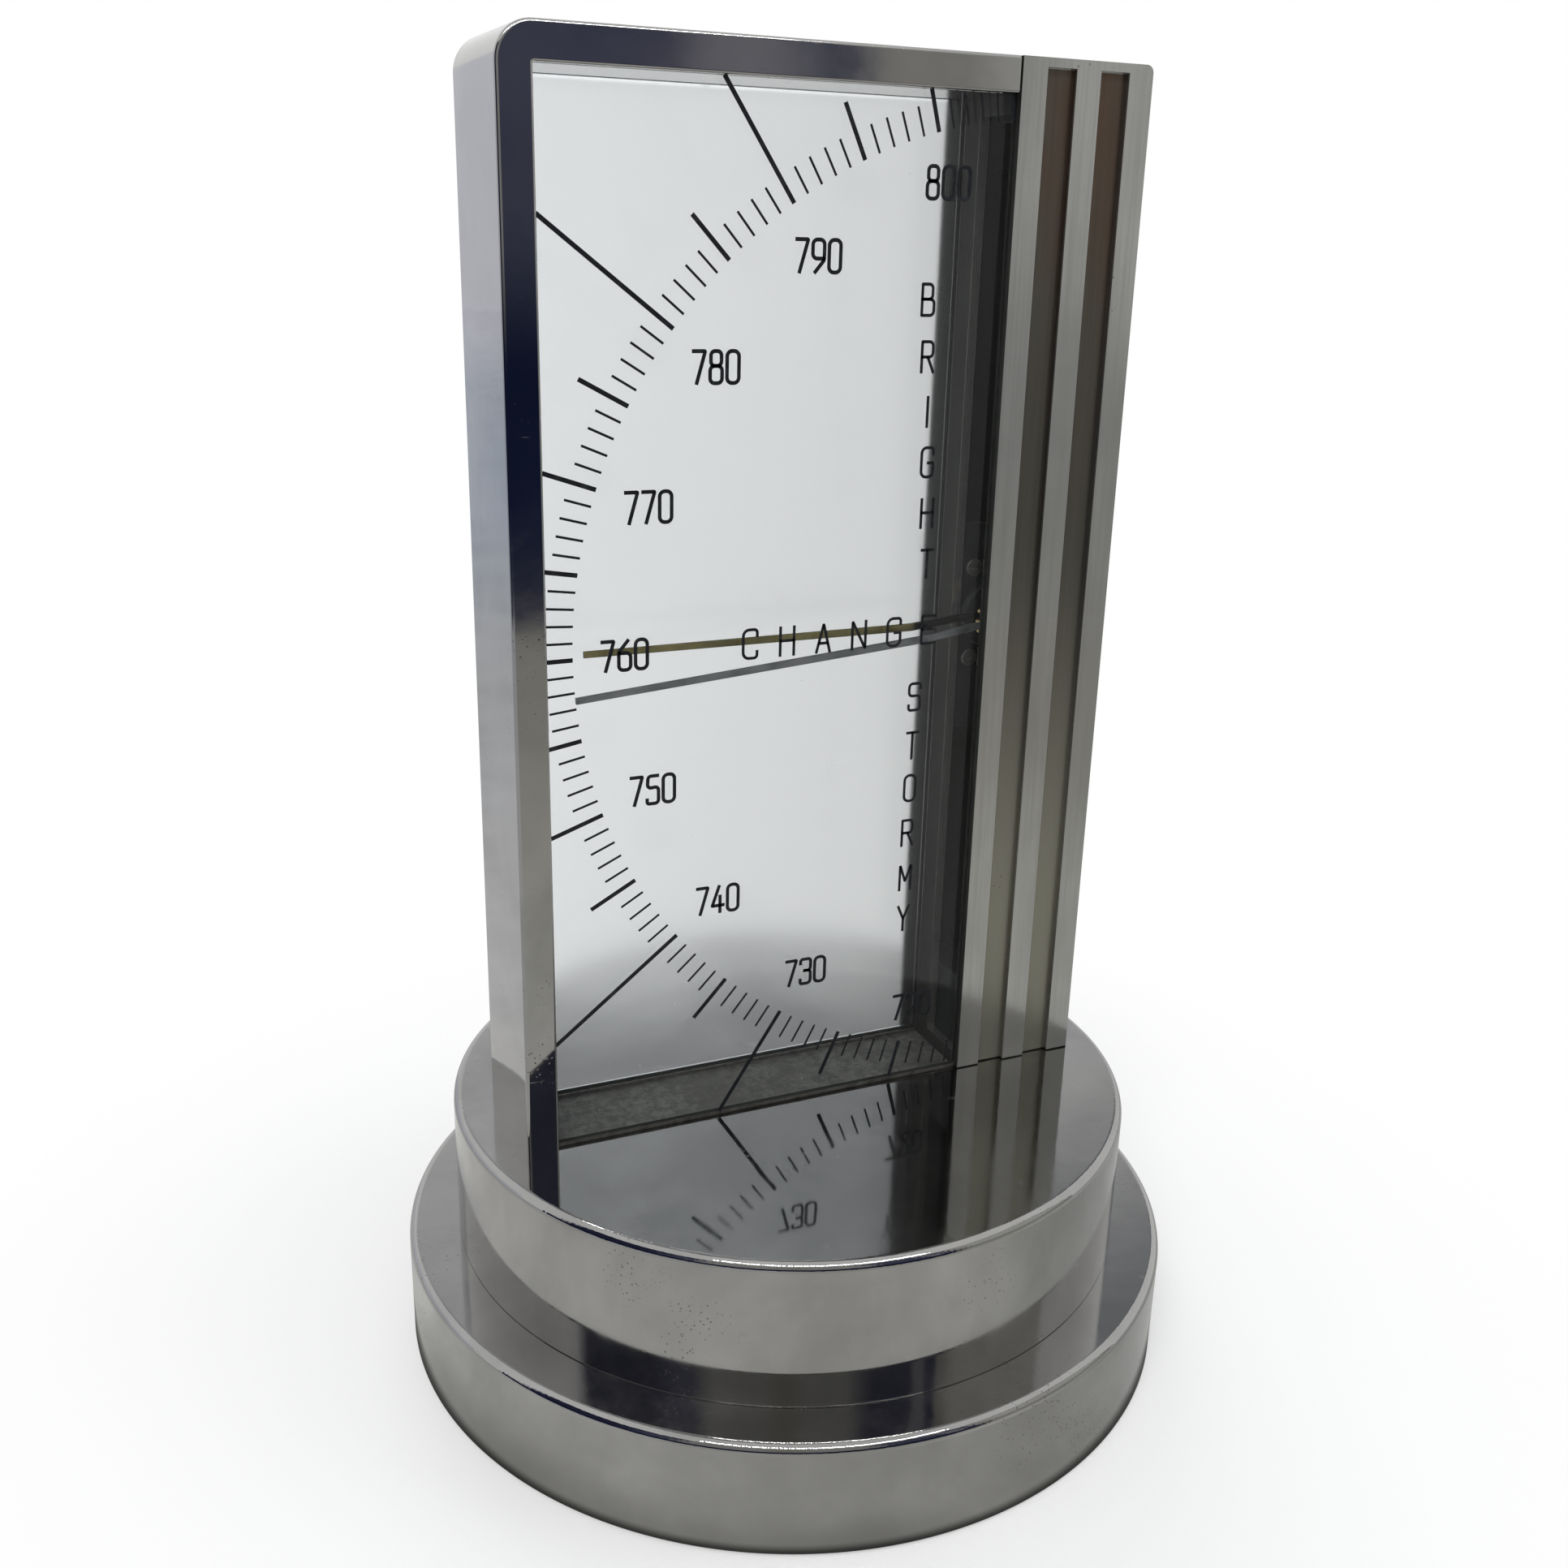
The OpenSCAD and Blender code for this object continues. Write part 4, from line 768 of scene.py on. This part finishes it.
class BARO_OT_frame(Piece, bpy.types.Operator):
    """Sweeps the bent bar with its grooves and rounded edges, and sets the two panes and their packing"""
    bl_idname = "baro.frame"
    bl_label = "Frame and panes"

    def build(self, sizes, finish):
        self.bar(sizes, finish)
        for name, node, y, mat in (
                ("front_glass", "front_pane", FRONT_PANE, glass("clear_glass")),
                ("ground_glass", "rear_pane", REAR_PANE, glass("ground_glass", finish.frost))):
            settle(rounded_slab(name, PANE_X, y, PANE_Z, sizes.glass_edge), node, mat)
        strips = [rounded_slab("packing_strips", (-34.5, 21.0), y, (34.0, 34.49), 0.1, steps=4)
                  for y in (FRONT_PANE, REAR_PANE)]
        settle(joined(*strips), "pane_packing", putty("packing"))

    def bar(self, sizes, finish):
        """Section (u, y), u from the outer face inward, swept down the left side, round the corner and along the top:
        left (LEFT_X + u, y, z), corner c + (T - u + q)(cos a, sin a), top (x, y, TOP_Z - u)."""
        e, s, groove = sizes.bar_edge, 0.08, 2.8
        sec = [(0, -HALF_D), (BAR_T, -HALF_D), (BAR_T, -8.35), (groove, -8.35), (groove, -7.15), (BAR_T, -7.15),
               (BAR_T, 3.15), (groove, 3.15), (groove, 5.25), (BAR_T, 5.25), (BAR_T, HALF_D), (0, HALF_D)]
        sec = fillet(sec, [e, e * 0.8, s, 0.05, 0.05, s, s, 0.05, 0.05, s, e * 0.8, e], steps=7)
        u, y = sec[:, 0], sec[:, 1]
        q = 0.12
        cx, cz = BAR_X + q, BAR_Z - q
        rows = [(LEFT_X + u, np.full(len(u), z)) for z in np.linspace(DRUM_Z1, cz, 16)[:-1]]
        rows += [(cx + (BAR_T - u + q) * math.cos(a), cz + (BAR_T - u + q) * math.sin(a))
                 for a in np.linspace(math.pi, math.pi / 2, 22)]
        rows += [(np.full(len(u), x), TOP_Z - u) for x in np.linspace(cx, BAR_END, 12)[1:]]
        ob = grid_object("bent_bar", np.array([np.stack([x, y, z], -1) for x, z in rows]), False, True)
        bore(ob, [(x, y, 1.2) for x, y in BAR_SCREWS], 33, 43)
        settle(ob, "frame_bar", chrome("bar_chrome", *plating(finish, 0.8), (1, 1, 0.4)))


class BARO_OT_print(Piece, bpy.types.Operator):
    """Prints the marks, the numerals and plain weather words on the front glass"""
    bl_idname = "baro.print"
    bl_label = "Print"

    def build(self, sizes, finish):
        pr = Print()
        scale_marks(pr, sizes)
        h, w, pen, step = sizes.numeral_h, sizes.numeral_w, sizes.pen, sizes.numeral_step
        for text, cx, cz in (("790", -2.9, 138.5), ("780", -14.8, 126.8), ("770", -22.6, 111.9),
                             ("760", -25.5, 95.4), ("750", -22.2, 79.0), ("740", -13.9, 63.9), ("730", -1.8, 52.2),
                             ("800", 11.85 + step / 2, 146.5), ("720", 12.85 + step / 2, 44.6)):
            pr.number(text, cx, cz, h, w, pen, step)
        for word, xs, zs, wide in (
                ("BRIGHT", np.linspace(11.0, 12.6, 6), (134.0, 127.7, 121.5, 115.7, 109.7, 103.6), 1.1),
                ("CHANGE", np.linspace(-10.2, 13.3, 6), [95.5] * 6, 1.25),
                ("STORMY", [11.9] * 6, (87.1, 80.8, 75.2, 69.2, 63.1, 57.4), 1.1)):
            for ch, x, z in zip(word, xs, zs):
                pr.glyph(ch, x, z, h, w * wide, sizes.letter_pen)
        co = np.insert(np.concatenate(pr.co), 1, FRONT_PANE[0] - 0.012, axis=1)
        me = bpy.data.meshes.new("dial_print")
        me.from_pydata((co * MM).tolist(), [], np.concatenate(pr.faces).tolist())
        bm = bmesh.new()
        bm.from_mesh(me)
        bmesh.ops.recalc_face_normals(bm, faces=bm.faces)
        bmesh.ops.reverse_faces(bm, faces=[f for f in bm.faces if f.normal.y > 0])
        bm.to_mesh(me)
        bm.free()
        ob = linked("dial_print", me)
        m = ob.modifiers.new("Solidify", "SOLIDIFY")
        m.thickness = 0.011 * MM
        m.offset = -1
        me.materials.append(enamel("enamel"))
        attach(ob, "housing")


class BARO_OT_column(Piece, bpy.types.Operator):
    """Dresses the fluted column and its cover"""
    bl_idname = "baro.column"
    bl_label = "Column"

    def build(self, sizes, finish):
        settle(merged("column", "fluted_column"), "column", satin_column("column_satin"), sizes.column_edge, 3)
        settle(merged("column_cover", "back_cover"), "column_cover",
               brushed("cover_satin", (0.26, 0.262, 0.25), 0.34), 0.12)


class BARO_OT_hands(Piece, bpy.types.Operator):
    """Sweeps the two cranked hands and turns the collet and the set knob"""
    bl_idname = "baro.hands"
    bl_label = "Hands and knob"

    def build(self, sizes, finish):
        gilt = hand_finish("gilt_hand", (0.075, 0.066, 0.026), (0.13, 0.115, 0.05), (0.004, 0.004, 0.005), 13.0)
        steel = hand_finish("steel_hand", (0.075, 0.08, 0.083), (0.12, 0.125, 0.13), (0.075, 0.08, 0.082), 5.0)
        self.hand("needle", "indicating_hand", gilt, y_root=-2.15, y_far=-4.6, r_crank=13.5, r_tip=55.5,
                  ring_r=2.0, bore_r=0.62, deg=-0.2)
        self.hand("set_needle", "set_hand", steel, y_root=-5.5, y_far=-6.9, r_crank=12.5, r_tip=57.4,
                  ring_r=2.6, bore_r=1.62, deg=-4.9)
        prof = fillet([(0.62, -1.75), (4.3, -1.75), (4.3, -0.55), (0.62, -0.55)], [0.05, 0.35, 0.35, 0.05], steps=6)
        settle(revolve("collet", prof, 96, (HAND_X, HAND_Z)), "pointer_collet", lacquer("collet_lacquer"))
        self.knob(finish)

    def hand(self, name, node, mat, y_root, y_far, r_crank, r_tip, ring_r, bore_r, deg):
        """Path (r, y): the root at y_root to r = 5.4, cranked forward to y_far at r_crank, then straight to the tip.

        The section is a rounded rectangle 0.95 by 0.4; the ring is a disc of the same thickness with its bore."""
        t, w = 0.4, 0.95
        y0, y1 = y_root + t / 2, y_far + t / 2
        path = fillet([(ring_r - 0.4, y0), (5.4, y0), (r_crank, y1), (r_tip, y1)], [0, 1.6, 1.6, 0], closed=False,
                      steps=9)
        d = np.gradient(path, axis=0)
        d /= np.linalg.norm(d, axis=1)[:, None]
        sec = fillet([(-w / 2, -t / 2), (w / 2, -t / 2), (w / 2, t / 2), (-w / 2, t / 2)], 0.09, steps=4)
        taper = np.ones((len(path), 1))
        taper[-1] = 0.82
        z = sec[None, :, 0] * taper
        r = path[:, :1] - d[:, 1:] * sec[:, 1]
        y = path[:, 1:] + d[:, :1] * sec[:, 1]
        s, c = math.sin(math.radians(deg)), math.cos(math.radians(deg))
        co = np.stack([HAND_X - r * c + z * s, y, HAND_Z + r * s + z * c], -1)
        arm = grid_object(name, co, False, True, sharp=45)
        prof = fillet([(bore_r, y_root), (ring_r, y_root), (ring_r, y_root + t), (bore_r, y_root + t)], 0.06, steps=4)
        joined(arm, revolve("ring", prof, 64, (HAND_X, HAND_Z)))
        smooth(arm.data, 45)
        settle(arm, node, mat)

    def knob(self, finish):
        """Knurled knob: radius r - 0.35 (0.5 + 0.5 cos(30 t))^1.6 between plain borders, ends rounded over."""
        outline = [(0.0, 15.2), (5.5, 15.2), (5.5, 9.6), (1.02, 9.6), (1.02, 14.1), (0.0, 14.1)]
        prof = fillet(outline, [0, 0.7, 0.5, 0.1, 0.1, 0], closed=False, steps=10)
        side = prof[:, 0] > 5.4
        rows = np.stack([np.full(24, 5.5), np.linspace(14.5, 10.1, 24)], -1)
        prof = np.concatenate([prof[:np.argmax(side) + 1], rows, prof[len(side) - np.argmax(side[::-1]) - 1:]])
        r, y, t = prof[:, 0], prof[:, 1], turn(30 * 12)
        ease = np.clip((14.6 - y) / 0.5, 0, 1) * np.clip((y - 10.2) / 0.5, 0, 1)
        cut = 0.35 * (0.5 + 0.5 * np.cos(30 * t)) ** 1.6
        co = round_y(r - cut * ease * (r > 4.5), t, y, KNOB_X, KNOB_Z)
        mat = chrome("knob_chrome", tuple(finish.chrome_tone), 0.08, 0.12, (1, 0.3, 1))
        settle(grid_object("knurled_knob", co, True, False, sharp=50), "set_knob", mat)


class BARO_OT_movement(Piece, bpy.types.Operator):
    """Dresses the movement, the aneroid capsule and all the other small pieces"""
    bl_idname = "baro.movement"
    bl_label = "Movement"

    def build(self, sizes, finish):
        self.capsule()
        self.hairspring()
        looks = {
            "screw_steel": brushed("turned_steel", (0.42, 0.42, 0.41), 0.28, (4, 4, 4)),
            "brass": brushed("worked_brass", (0.52, 0.40, 0.18), 0.30, (5, 5, 0.6), (0.16, 0.10, 0.04)),
            "plate_alloy": brushed("cast_alloy", (0.44, 0.45, 0.46), 0.40, (2, 2, 2), (0.2, 0.2, 0.19)),
            "blued_steel": brushed("blued_steel", (0.10, 0.13, 0.22), 0.28, (0.4, 5, 5), (0.16, 0.12, 0.10), 0.25),
            "black_metal": lacquer("plate_lacquer")}
        bevel = {"bottom_plate": 0.2, "spring_bridge": 0.3, "foot_block": 0.25, "head_block": 0.25,
                 "spring_clamp": 0.2, "base_pillars": 0.2, "main_lever": 0.15, "mainspring": 0.1,
                 "chassis_plate": 0.12, "front_plate": 0.12}
        for node, slot in SLOT_OF.items():
            if slot in looks and not frame["nodes"][node].hide_render:
                settle(merged(node, "fine_" + node), node, looks[slot], bevel.get(node, 0.06))

    def capsule(self):
        """Pressed halves: height 3 - 0.35 (1 - cos(2 pi 4 (r - 6) / 16.5)) between r 6 and 22.5, falling to the
        soldered rim."""
        mat = brushed("capsule_metal", (0.50, 0.505, 0.50), 0.24, (1, 1, 1), (0.2, 0.18, 0.14), 0.2)
        r = np.concatenate([[0.0], np.linspace(6.0, 22.5, 97), [23.0, 24.0]])
        h = np.where(r < 6.0, 3.0, 3.0 - 0.35 * (1 - np.cos(2 * np.pi * 4 * (r - 6.0) / 16.5)))
        fall = np.clip((r - 20.6) / 1.9, 0, 1)
        h = h * (1 - fall ** 2) + 0.4 * fall ** 2
        outer = np.stack([r, np.maximum(h, 0.4)], -1)
        inner = np.stack([r, np.maximum(h - 0.38, 0.02)], -1)[::-1]
        for name, node, sign in (("capsule_top", "capsule_upper", 1.0), ("capsule_bottom", "capsule_lower", -1.0)):
            prof = np.concatenate([outer, inner]) * [1.0, sign] + [0.0, 9.2]
            settle(revolve(name, prof, 128, sharp=60), node, mat)

    def hairspring(self):
        """Archimedean spiral r = 1.3 + 1.61 s over three turns, s from 0 to 1, with a thin upright section."""
        s = np.linspace(0, 1, 260)[:, None]
        r = 1.3 + 1.61 * s + 0.015 + np.array([0, 0.13, 0.13, 0])
        co = round_y(r, np.radians(90 - 1080 * (1 - s)), np.array([4.63, 4.63, 5.17, 5.17]), HAND_X, HAND_Z)
        mat = brushed("spring_blue", (0.09, 0.12, 0.24), 0.25, (1, 4, 1), (0.14, 0.10, 0.1), 0.2)
        settle(grid_object("fine_hairspring", co, False, True), "hairspring", mat)


class BARO_OT_stage(Piece, bpy.types.Operator):
    """Lays the floor, lights the object and stands the camera where the photograph was taken"""
    bl_idname = "baro.stage"
    bl_label = "Stage"

    def build(self, sizes, finish):
        self.floor()
        self.front_wall()
        self.table()
        self.far_wall()
        self.lamp_row()
        self.world()
        self.lamps()
        self.camera()
        bpy.context.scene.view_settings.view_transform = "Standard"

    def floor(self):
        """White floor: it takes the object's shadow near the foot and fades into plain white farther out."""
        r = 3000 * np.linspace(0, 1, 40) ** 2
        ob = grid_object("floor", round_z(r, turn(96), 0.0), True, False)
        s = Shade("floor")
        seen = s.rays("Camera", "Transmission")
        base = s.mix(s.noise(9, 3, 0.5), (0.80, 0.80, 0.795), (0.83, 0.83, 0.825))
        diffuse = s.add("ShaderNodeBsdfDiffuse", {"Color": s.mix(seen, base, (1.0, 1.0, 1.0))})[0]
        white = s.add("ShaderNodeEmission", {"Color": (1, 1, 1), "Strength": 1.0})[0]
        fade = s.mul(s.band(s.radius(), 0.054, 0.136, 0.30, 1.0), s.math("MAXIMUM", seen, s.rays("Glossy")))
        s.output(s.over(fade, diffuse, white))
        ob.data.materials.append(s.mat)

    def card(self, name, co, mat, glossy=True):
        """A surface of (nu, nv, 3) points in millimetres that only reflected rays see, or only those sent through
        glass. The cards are the room that the plating mirrors."""
        ob = grid_object(name, co)
        ob.data.materials.append(mat)
        ob.visible_camera = ob.visible_diffuse = ob.visible_shadow = False
        ob.visible_glossy, ob.visible_transmission = glossy, not glossy

    @staticmethod
    def wall(r, az0, az1, n, top):
        """Upright wall (r sin a, -r cos a, z) of n columns from the floor to the top."""
        return round_z(r, np.radians(np.linspace(az0, az1, n) - 90)[:, None], np.array([0.5, top]))

    @staticmethod
    def sheet(y, z0, z1):
        """Upright plane far behind the object."""
        x, z = np.meshgrid([-160, 800], [z0, z1], indexing="ij")
        return np.stack([x, np.full((2, 2), y), z], -1)

    def front_wall(self):
        """Wall round the front: dark low down, with lighter and darker stretches above."""
        s = Shade("room_front")
        az, z = s.azimuth(), s.xyz()[2]
        soft = s.mul(s.minus(s.noise(14, 4, 0.6), 0.5), 7.0)
        a = s.plus(az, soft)
        low = s.fall(s.plus(z, s.mul(soft, 0.0012)), 0.085, 0.150)
        col = s.layers(
            s.mix(s.noise(22, 4, 0.6), (0.060, 0.068, 0.125), (0.125, 0.130, 0.185)),
            (s.between(a, -92, -62, 5), (0.030, 0.034, 0.070)),
            (s.band(a, -89, -96), (0.95, 0.95, 0.97)),
            (s.between(a, -49, 1, 5), (0.42, 0.42, 0.41)),
            (s.mul(s.between(a, -27, -18, 3), 0.6), (0.34, 0.32, 0.28)),
            (s.between(a, 18.3, 22.6, 1.0), (0.285, 0.28, 0.32)),
            (s.band(a, 25.4, 27.2), (0.43, 0.42, 0.40)),
            (s.band(a, 28.5, 33.5), (0.62, 0.62, 0.60)),
            (low, s.mix(s.band(az, 24, 31), (0.012, 0.018, 0.055), (0.40, 0.40, 0.385))))
        self.card("card_front", self.wall(460, -98, 70, 85, 450), s.glow(col))

    def table(self):
        """Ring just above the floor: warm on the right, cool and paler on the left, a painted shadow close to the
        foot.
        """
        s = Shade("room_table")
        az, d = s.azimuth(), s.radius()
        plain = s.mix(s.band(d, 0.12, 0.45), (0.64, 0.64, 0.63), (0.58, 0.60, 0.63))
        warm = s.mix(s.band(d, 0.12, 0.30), (0.62, 0.62, 0.585), (0.44, 0.43, 0.39))
        cool = s.layers(
            s.mix(s.band(d, 0.10, 0.30), (0.67, 0.67, 0.675), (0.60, 0.61, 0.63)),
            (s.band(d, 0.30, 0.70), (0.51, 0.565, 0.66)),
            (s.band(d, 0.75, 2.2), (0.74, 0.755, 0.85)))
        # Painted shadow: the floor close to the foot, darker in places, as the plating mirrors it.
        near = s.layers(
            s.mix(s.band(d, 0.0515, 0.0585), (0.50, 0.50, 0.48), (0.71, 0.71, 0.69)),
            (s.band(d, 0.060, 0.078), (0.725, 0.72, 0.695)),
            (s.band(az, 14, 48), (0.47, 0.475, 0.46)),
            (s.mul(s.between(az, -2, 30, 8), s.band(d, 0.072, 0.062)), (0.53, 0.53, 0.51)),
            (s.mul(s.between(az, -165, -112, 9), s.band(d, 0.074, 0.060)), (0.42, 0.425, 0.43)))
        # Painted shadow: a dark ring right at the foot.
        near = s.mix(s.band(d, 0.0512, 0.0526), (0.10, 0.10, 0.095), near)
        col = s.layers(
            s.mix(s.between(az, -18, 55, 10), plain, warm),
            (s.mul(s.between(az, -6, 22, 3), s.band(d, 0.385, 0.44)), (0.030, 0.036, 0.075)),
            (s.math("ADD", s.band(az, -70, -105), s.band(az, 140, 170), clamp=True), cool))
        col = s.mix(s.band(d, 0.080, 0.118), near, col)
        mottle = s.band(s.noise(30, 5, 0.66), 0.3, 0.7, 0.90, 1.08)
        co = round_z(np.array([49.5, 2900.0]), np.radians(np.linspace(0, 360, 97))[:, None], 0.35)
        self.card("card_table", co, s.glow(col, mottle))

    def far_wall(self):
        """Plane behind the object, white at the left and low down, greyer upward and to the right, with a window; a
        dim upper part that the ground glass passes on to the drum's top; and a pale wall far off at the left."""
        s = Shade("room_far")
        x, _, z = s.xyz()
        cloud = s.mul(s.minus(s.noise(7, 4, 0.6), 0.5), 0.4)
        dim = s.plus(s.band(z, 0.36, 0.62), s.mul(s.band(x, 0.02, 0.9), 0.4))
        sill = s.plus(s.band(x, 0.160, 0.197, 0.345, 0.363), s.band(x, 0.200, 0.232, 0.0, -0.034),
                      s.band(x, 0.262, 0.300, 0.0, 0.038))
        col = s.layers(
            s.mix(s.band(s.plus(dim, cloud), 0.1, 1.3), (1.0, 1.0, 1.0), (0.28, 0.29, 0.31)),
            (s.mul(s.between(z, 0.27, 0.43, 0.02), s.band(x, 0.04, 0.12)), (0.76, 0.77, 0.80)),
            (s.mul(s.band(z, 0.345, 0.395), s.band(x, 0.13, 0.05), 0.75), (0.56, 0.57, 0.60)),
            (s.mul(s.fall(s.minus(z, sill), -0.022, 0.0), s.between(x, 0.120, 0.365, 0.012)), (2.0, 2.02, 2.05)))
        self.card("card_far", self.sheet(600, 0.5, 900), s.glow(col))
        s = Shade("room_above")
        mat = s.glow(s.mix(s.noise(7, 3, 0.6), (0.56, 0.585, 0.62), (0.68, 0.70, 0.72)))
        self.card("card_above", self.sheet(620, 405, 1400), mat, glossy=False)
        s = Shade("room_left")
        mat = s.glow(s.mix(s.noise(3, 3, 0.6), (0.78, 0.79, 0.87), (0.85, 0.86, 0.92)))
        self.card("card_left", self.wall(2800, -190, -112, 24, 900), mat)

    def lamp_row(self):
        """Upright lamps in a row, 56 degrees above the floor, which the tiers' rounded edges gather into beads."""
        s = Shade("room_lamps")
        pitch, dist = 3.2, 700
        a, e = np.radians(np.linspace(-50, 34, 43) - 90)[:, None], np.radians([54.0, 58.0])
        off = s.math("ABSOLUTE", s.minus(s.math("FRACT", s.math("DIVIDE", s.azimuth(), pitch)), 0.5))
        mat = s.glow((1.0, 1.0, 1.0), s.band(off, 0.15, 0.23, 60.0, 0.8))
        self.card("card_lamps", round_z(dist * np.cos(e), a, dist * np.sin(e)), mat)

    def world(self):
        """White to the camera, in mirrors and through glass; a dimmer, cooler sky lights the rest."""
        world = bpy.data.worlds.new("studio")
        bpy.context.scene.world = world
        g = Graph(world)
        sky = g.add("ShaderNodeBackground", {"Color": (0.97, 0.985, 1.0), "Strength": 0.62})[0]
        white = g.add("ShaderNodeBackground", {"Color": (1, 1, 1), "Strength": 1.0})[0]
        g.output(g.over(g.rays("Camera", "Glossy", "Transmission"), sky, white), "World")

    def lamps(self):
        """Three round area lamps, which mirrors and glass don't show."""
        for name, at, size, power, colour in (
                ("key", (-0.55, -0.65, 0.95), 0.6, 5.0, (1.0, 0.985, 0.96)),
                ("fill", (0.8, -0.4, 0.6), 0.7, 1.6, (0.95, 0.97, 1.0)),
                ("back", (0.1, 0.9, 0.8), 0.8, 2.2, (1.0, 1.0, 1.0))):
            data = bpy.data.lights.new(name, "AREA")
            data.shape = "DISK"
            data.size, data.energy, data.color = size, power, colour
            ob = linked(name, data)
            ob.location = at
            ob.rotation_euler = (Vector((0, 0, 0.08)) - Vector(at)).to_track_quat("-Z", "Y").to_euler()
            ob.visible_glossy = ob.visible_transmission = False

    def camera(self):
        """Camera from the solved yaw, pitch and roll: forward (sin y cos p, cos y cos p, -sin p), rolled round it."""
        yaw, pitch, roll = map(math.radians, (24.268, 18.927, 1.46))
        fwd = Vector((math.sin(yaw) * math.cos(pitch), math.cos(yaw) * math.cos(pitch), -math.sin(pitch)))
        level = Vector((math.cos(yaw), -math.sin(yaw), 0))
        over = level.cross(fwd)
        right = math.cos(roll) * level + math.sin(roll) * over
        up = -math.sin(roll) * level + math.cos(roll) * over
        data = bpy.data.cameras.new("camera")
        data.sensor_fit = "HORIZONTAL"
        data.sensor_width = 36.0
        data.lens = 36.861
        data.clip_start = 0.01
        data.dof.use_dof = False
        ob = linked("camera", data)
        m = Matrix((right, up, -fwd)).transposed().to_4x4()
        m.translation = Vector((-0.080945, -0.175781, 0.140754))
        ob.matrix_world = m
        bpy.context.scene.camera = ob


class BARO_PT_panel(bpy.types.Panel):
    """Sizes, finish and the buttons that build each group"""
    bl_idname = "BARO_PT_panel"
    bl_label = "Barometer"
    bl_space_type = "VIEW_3D"
    bl_region_type = "UI"
    bl_category = "Barometer"

    def draw(self, context):
        for group in (context.scene.baro_sizes, context.scene.baro_finish):
            box = self.layout.box()
            for name in group.__annotations__:
                box.prop(group, name)
        for op in OPERATORS:
            self.layout.operator(op.bl_idname)


OPERATORS = (BARO_OT_base, BARO_OT_frame, BARO_OT_print, BARO_OT_column, BARO_OT_hands, BARO_OT_movement,
             BARO_OT_stage)
CLASSES = (BaroSizes, BaroFinish, *OPERATORS, BARO_PT_panel)


def register():
    for c in CLASSES:
        bpy.utils.register_class(c)
    bpy.types.Scene.baro_sizes = bpy.props.PointerProperty(type=BaroSizes)
    bpy.types.Scene.baro_finish = bpy.props.PointerProperty(type=BaroFinish)


def unregister():
    del bpy.types.Scene.baro_finish
    del bpy.types.Scene.baro_sizes
    for c in reversed(CLASSES):
        bpy.utils.unregister_class(c)


def plain(box):
    return [[round(float(v), 6) for v in corner] for corner in box]


def main():
    register()
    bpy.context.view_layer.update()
    bpy.ops.baro.base()
    bpy.ops.baro.frame()
    bpy.ops.baro.print()
    bpy.ops.baro.column()
    bpy.ops.baro.hands()
    bpy.ops.baro.movement()
    bpy.ops.baro.stage()


if __name__ == "__main__":
    main()
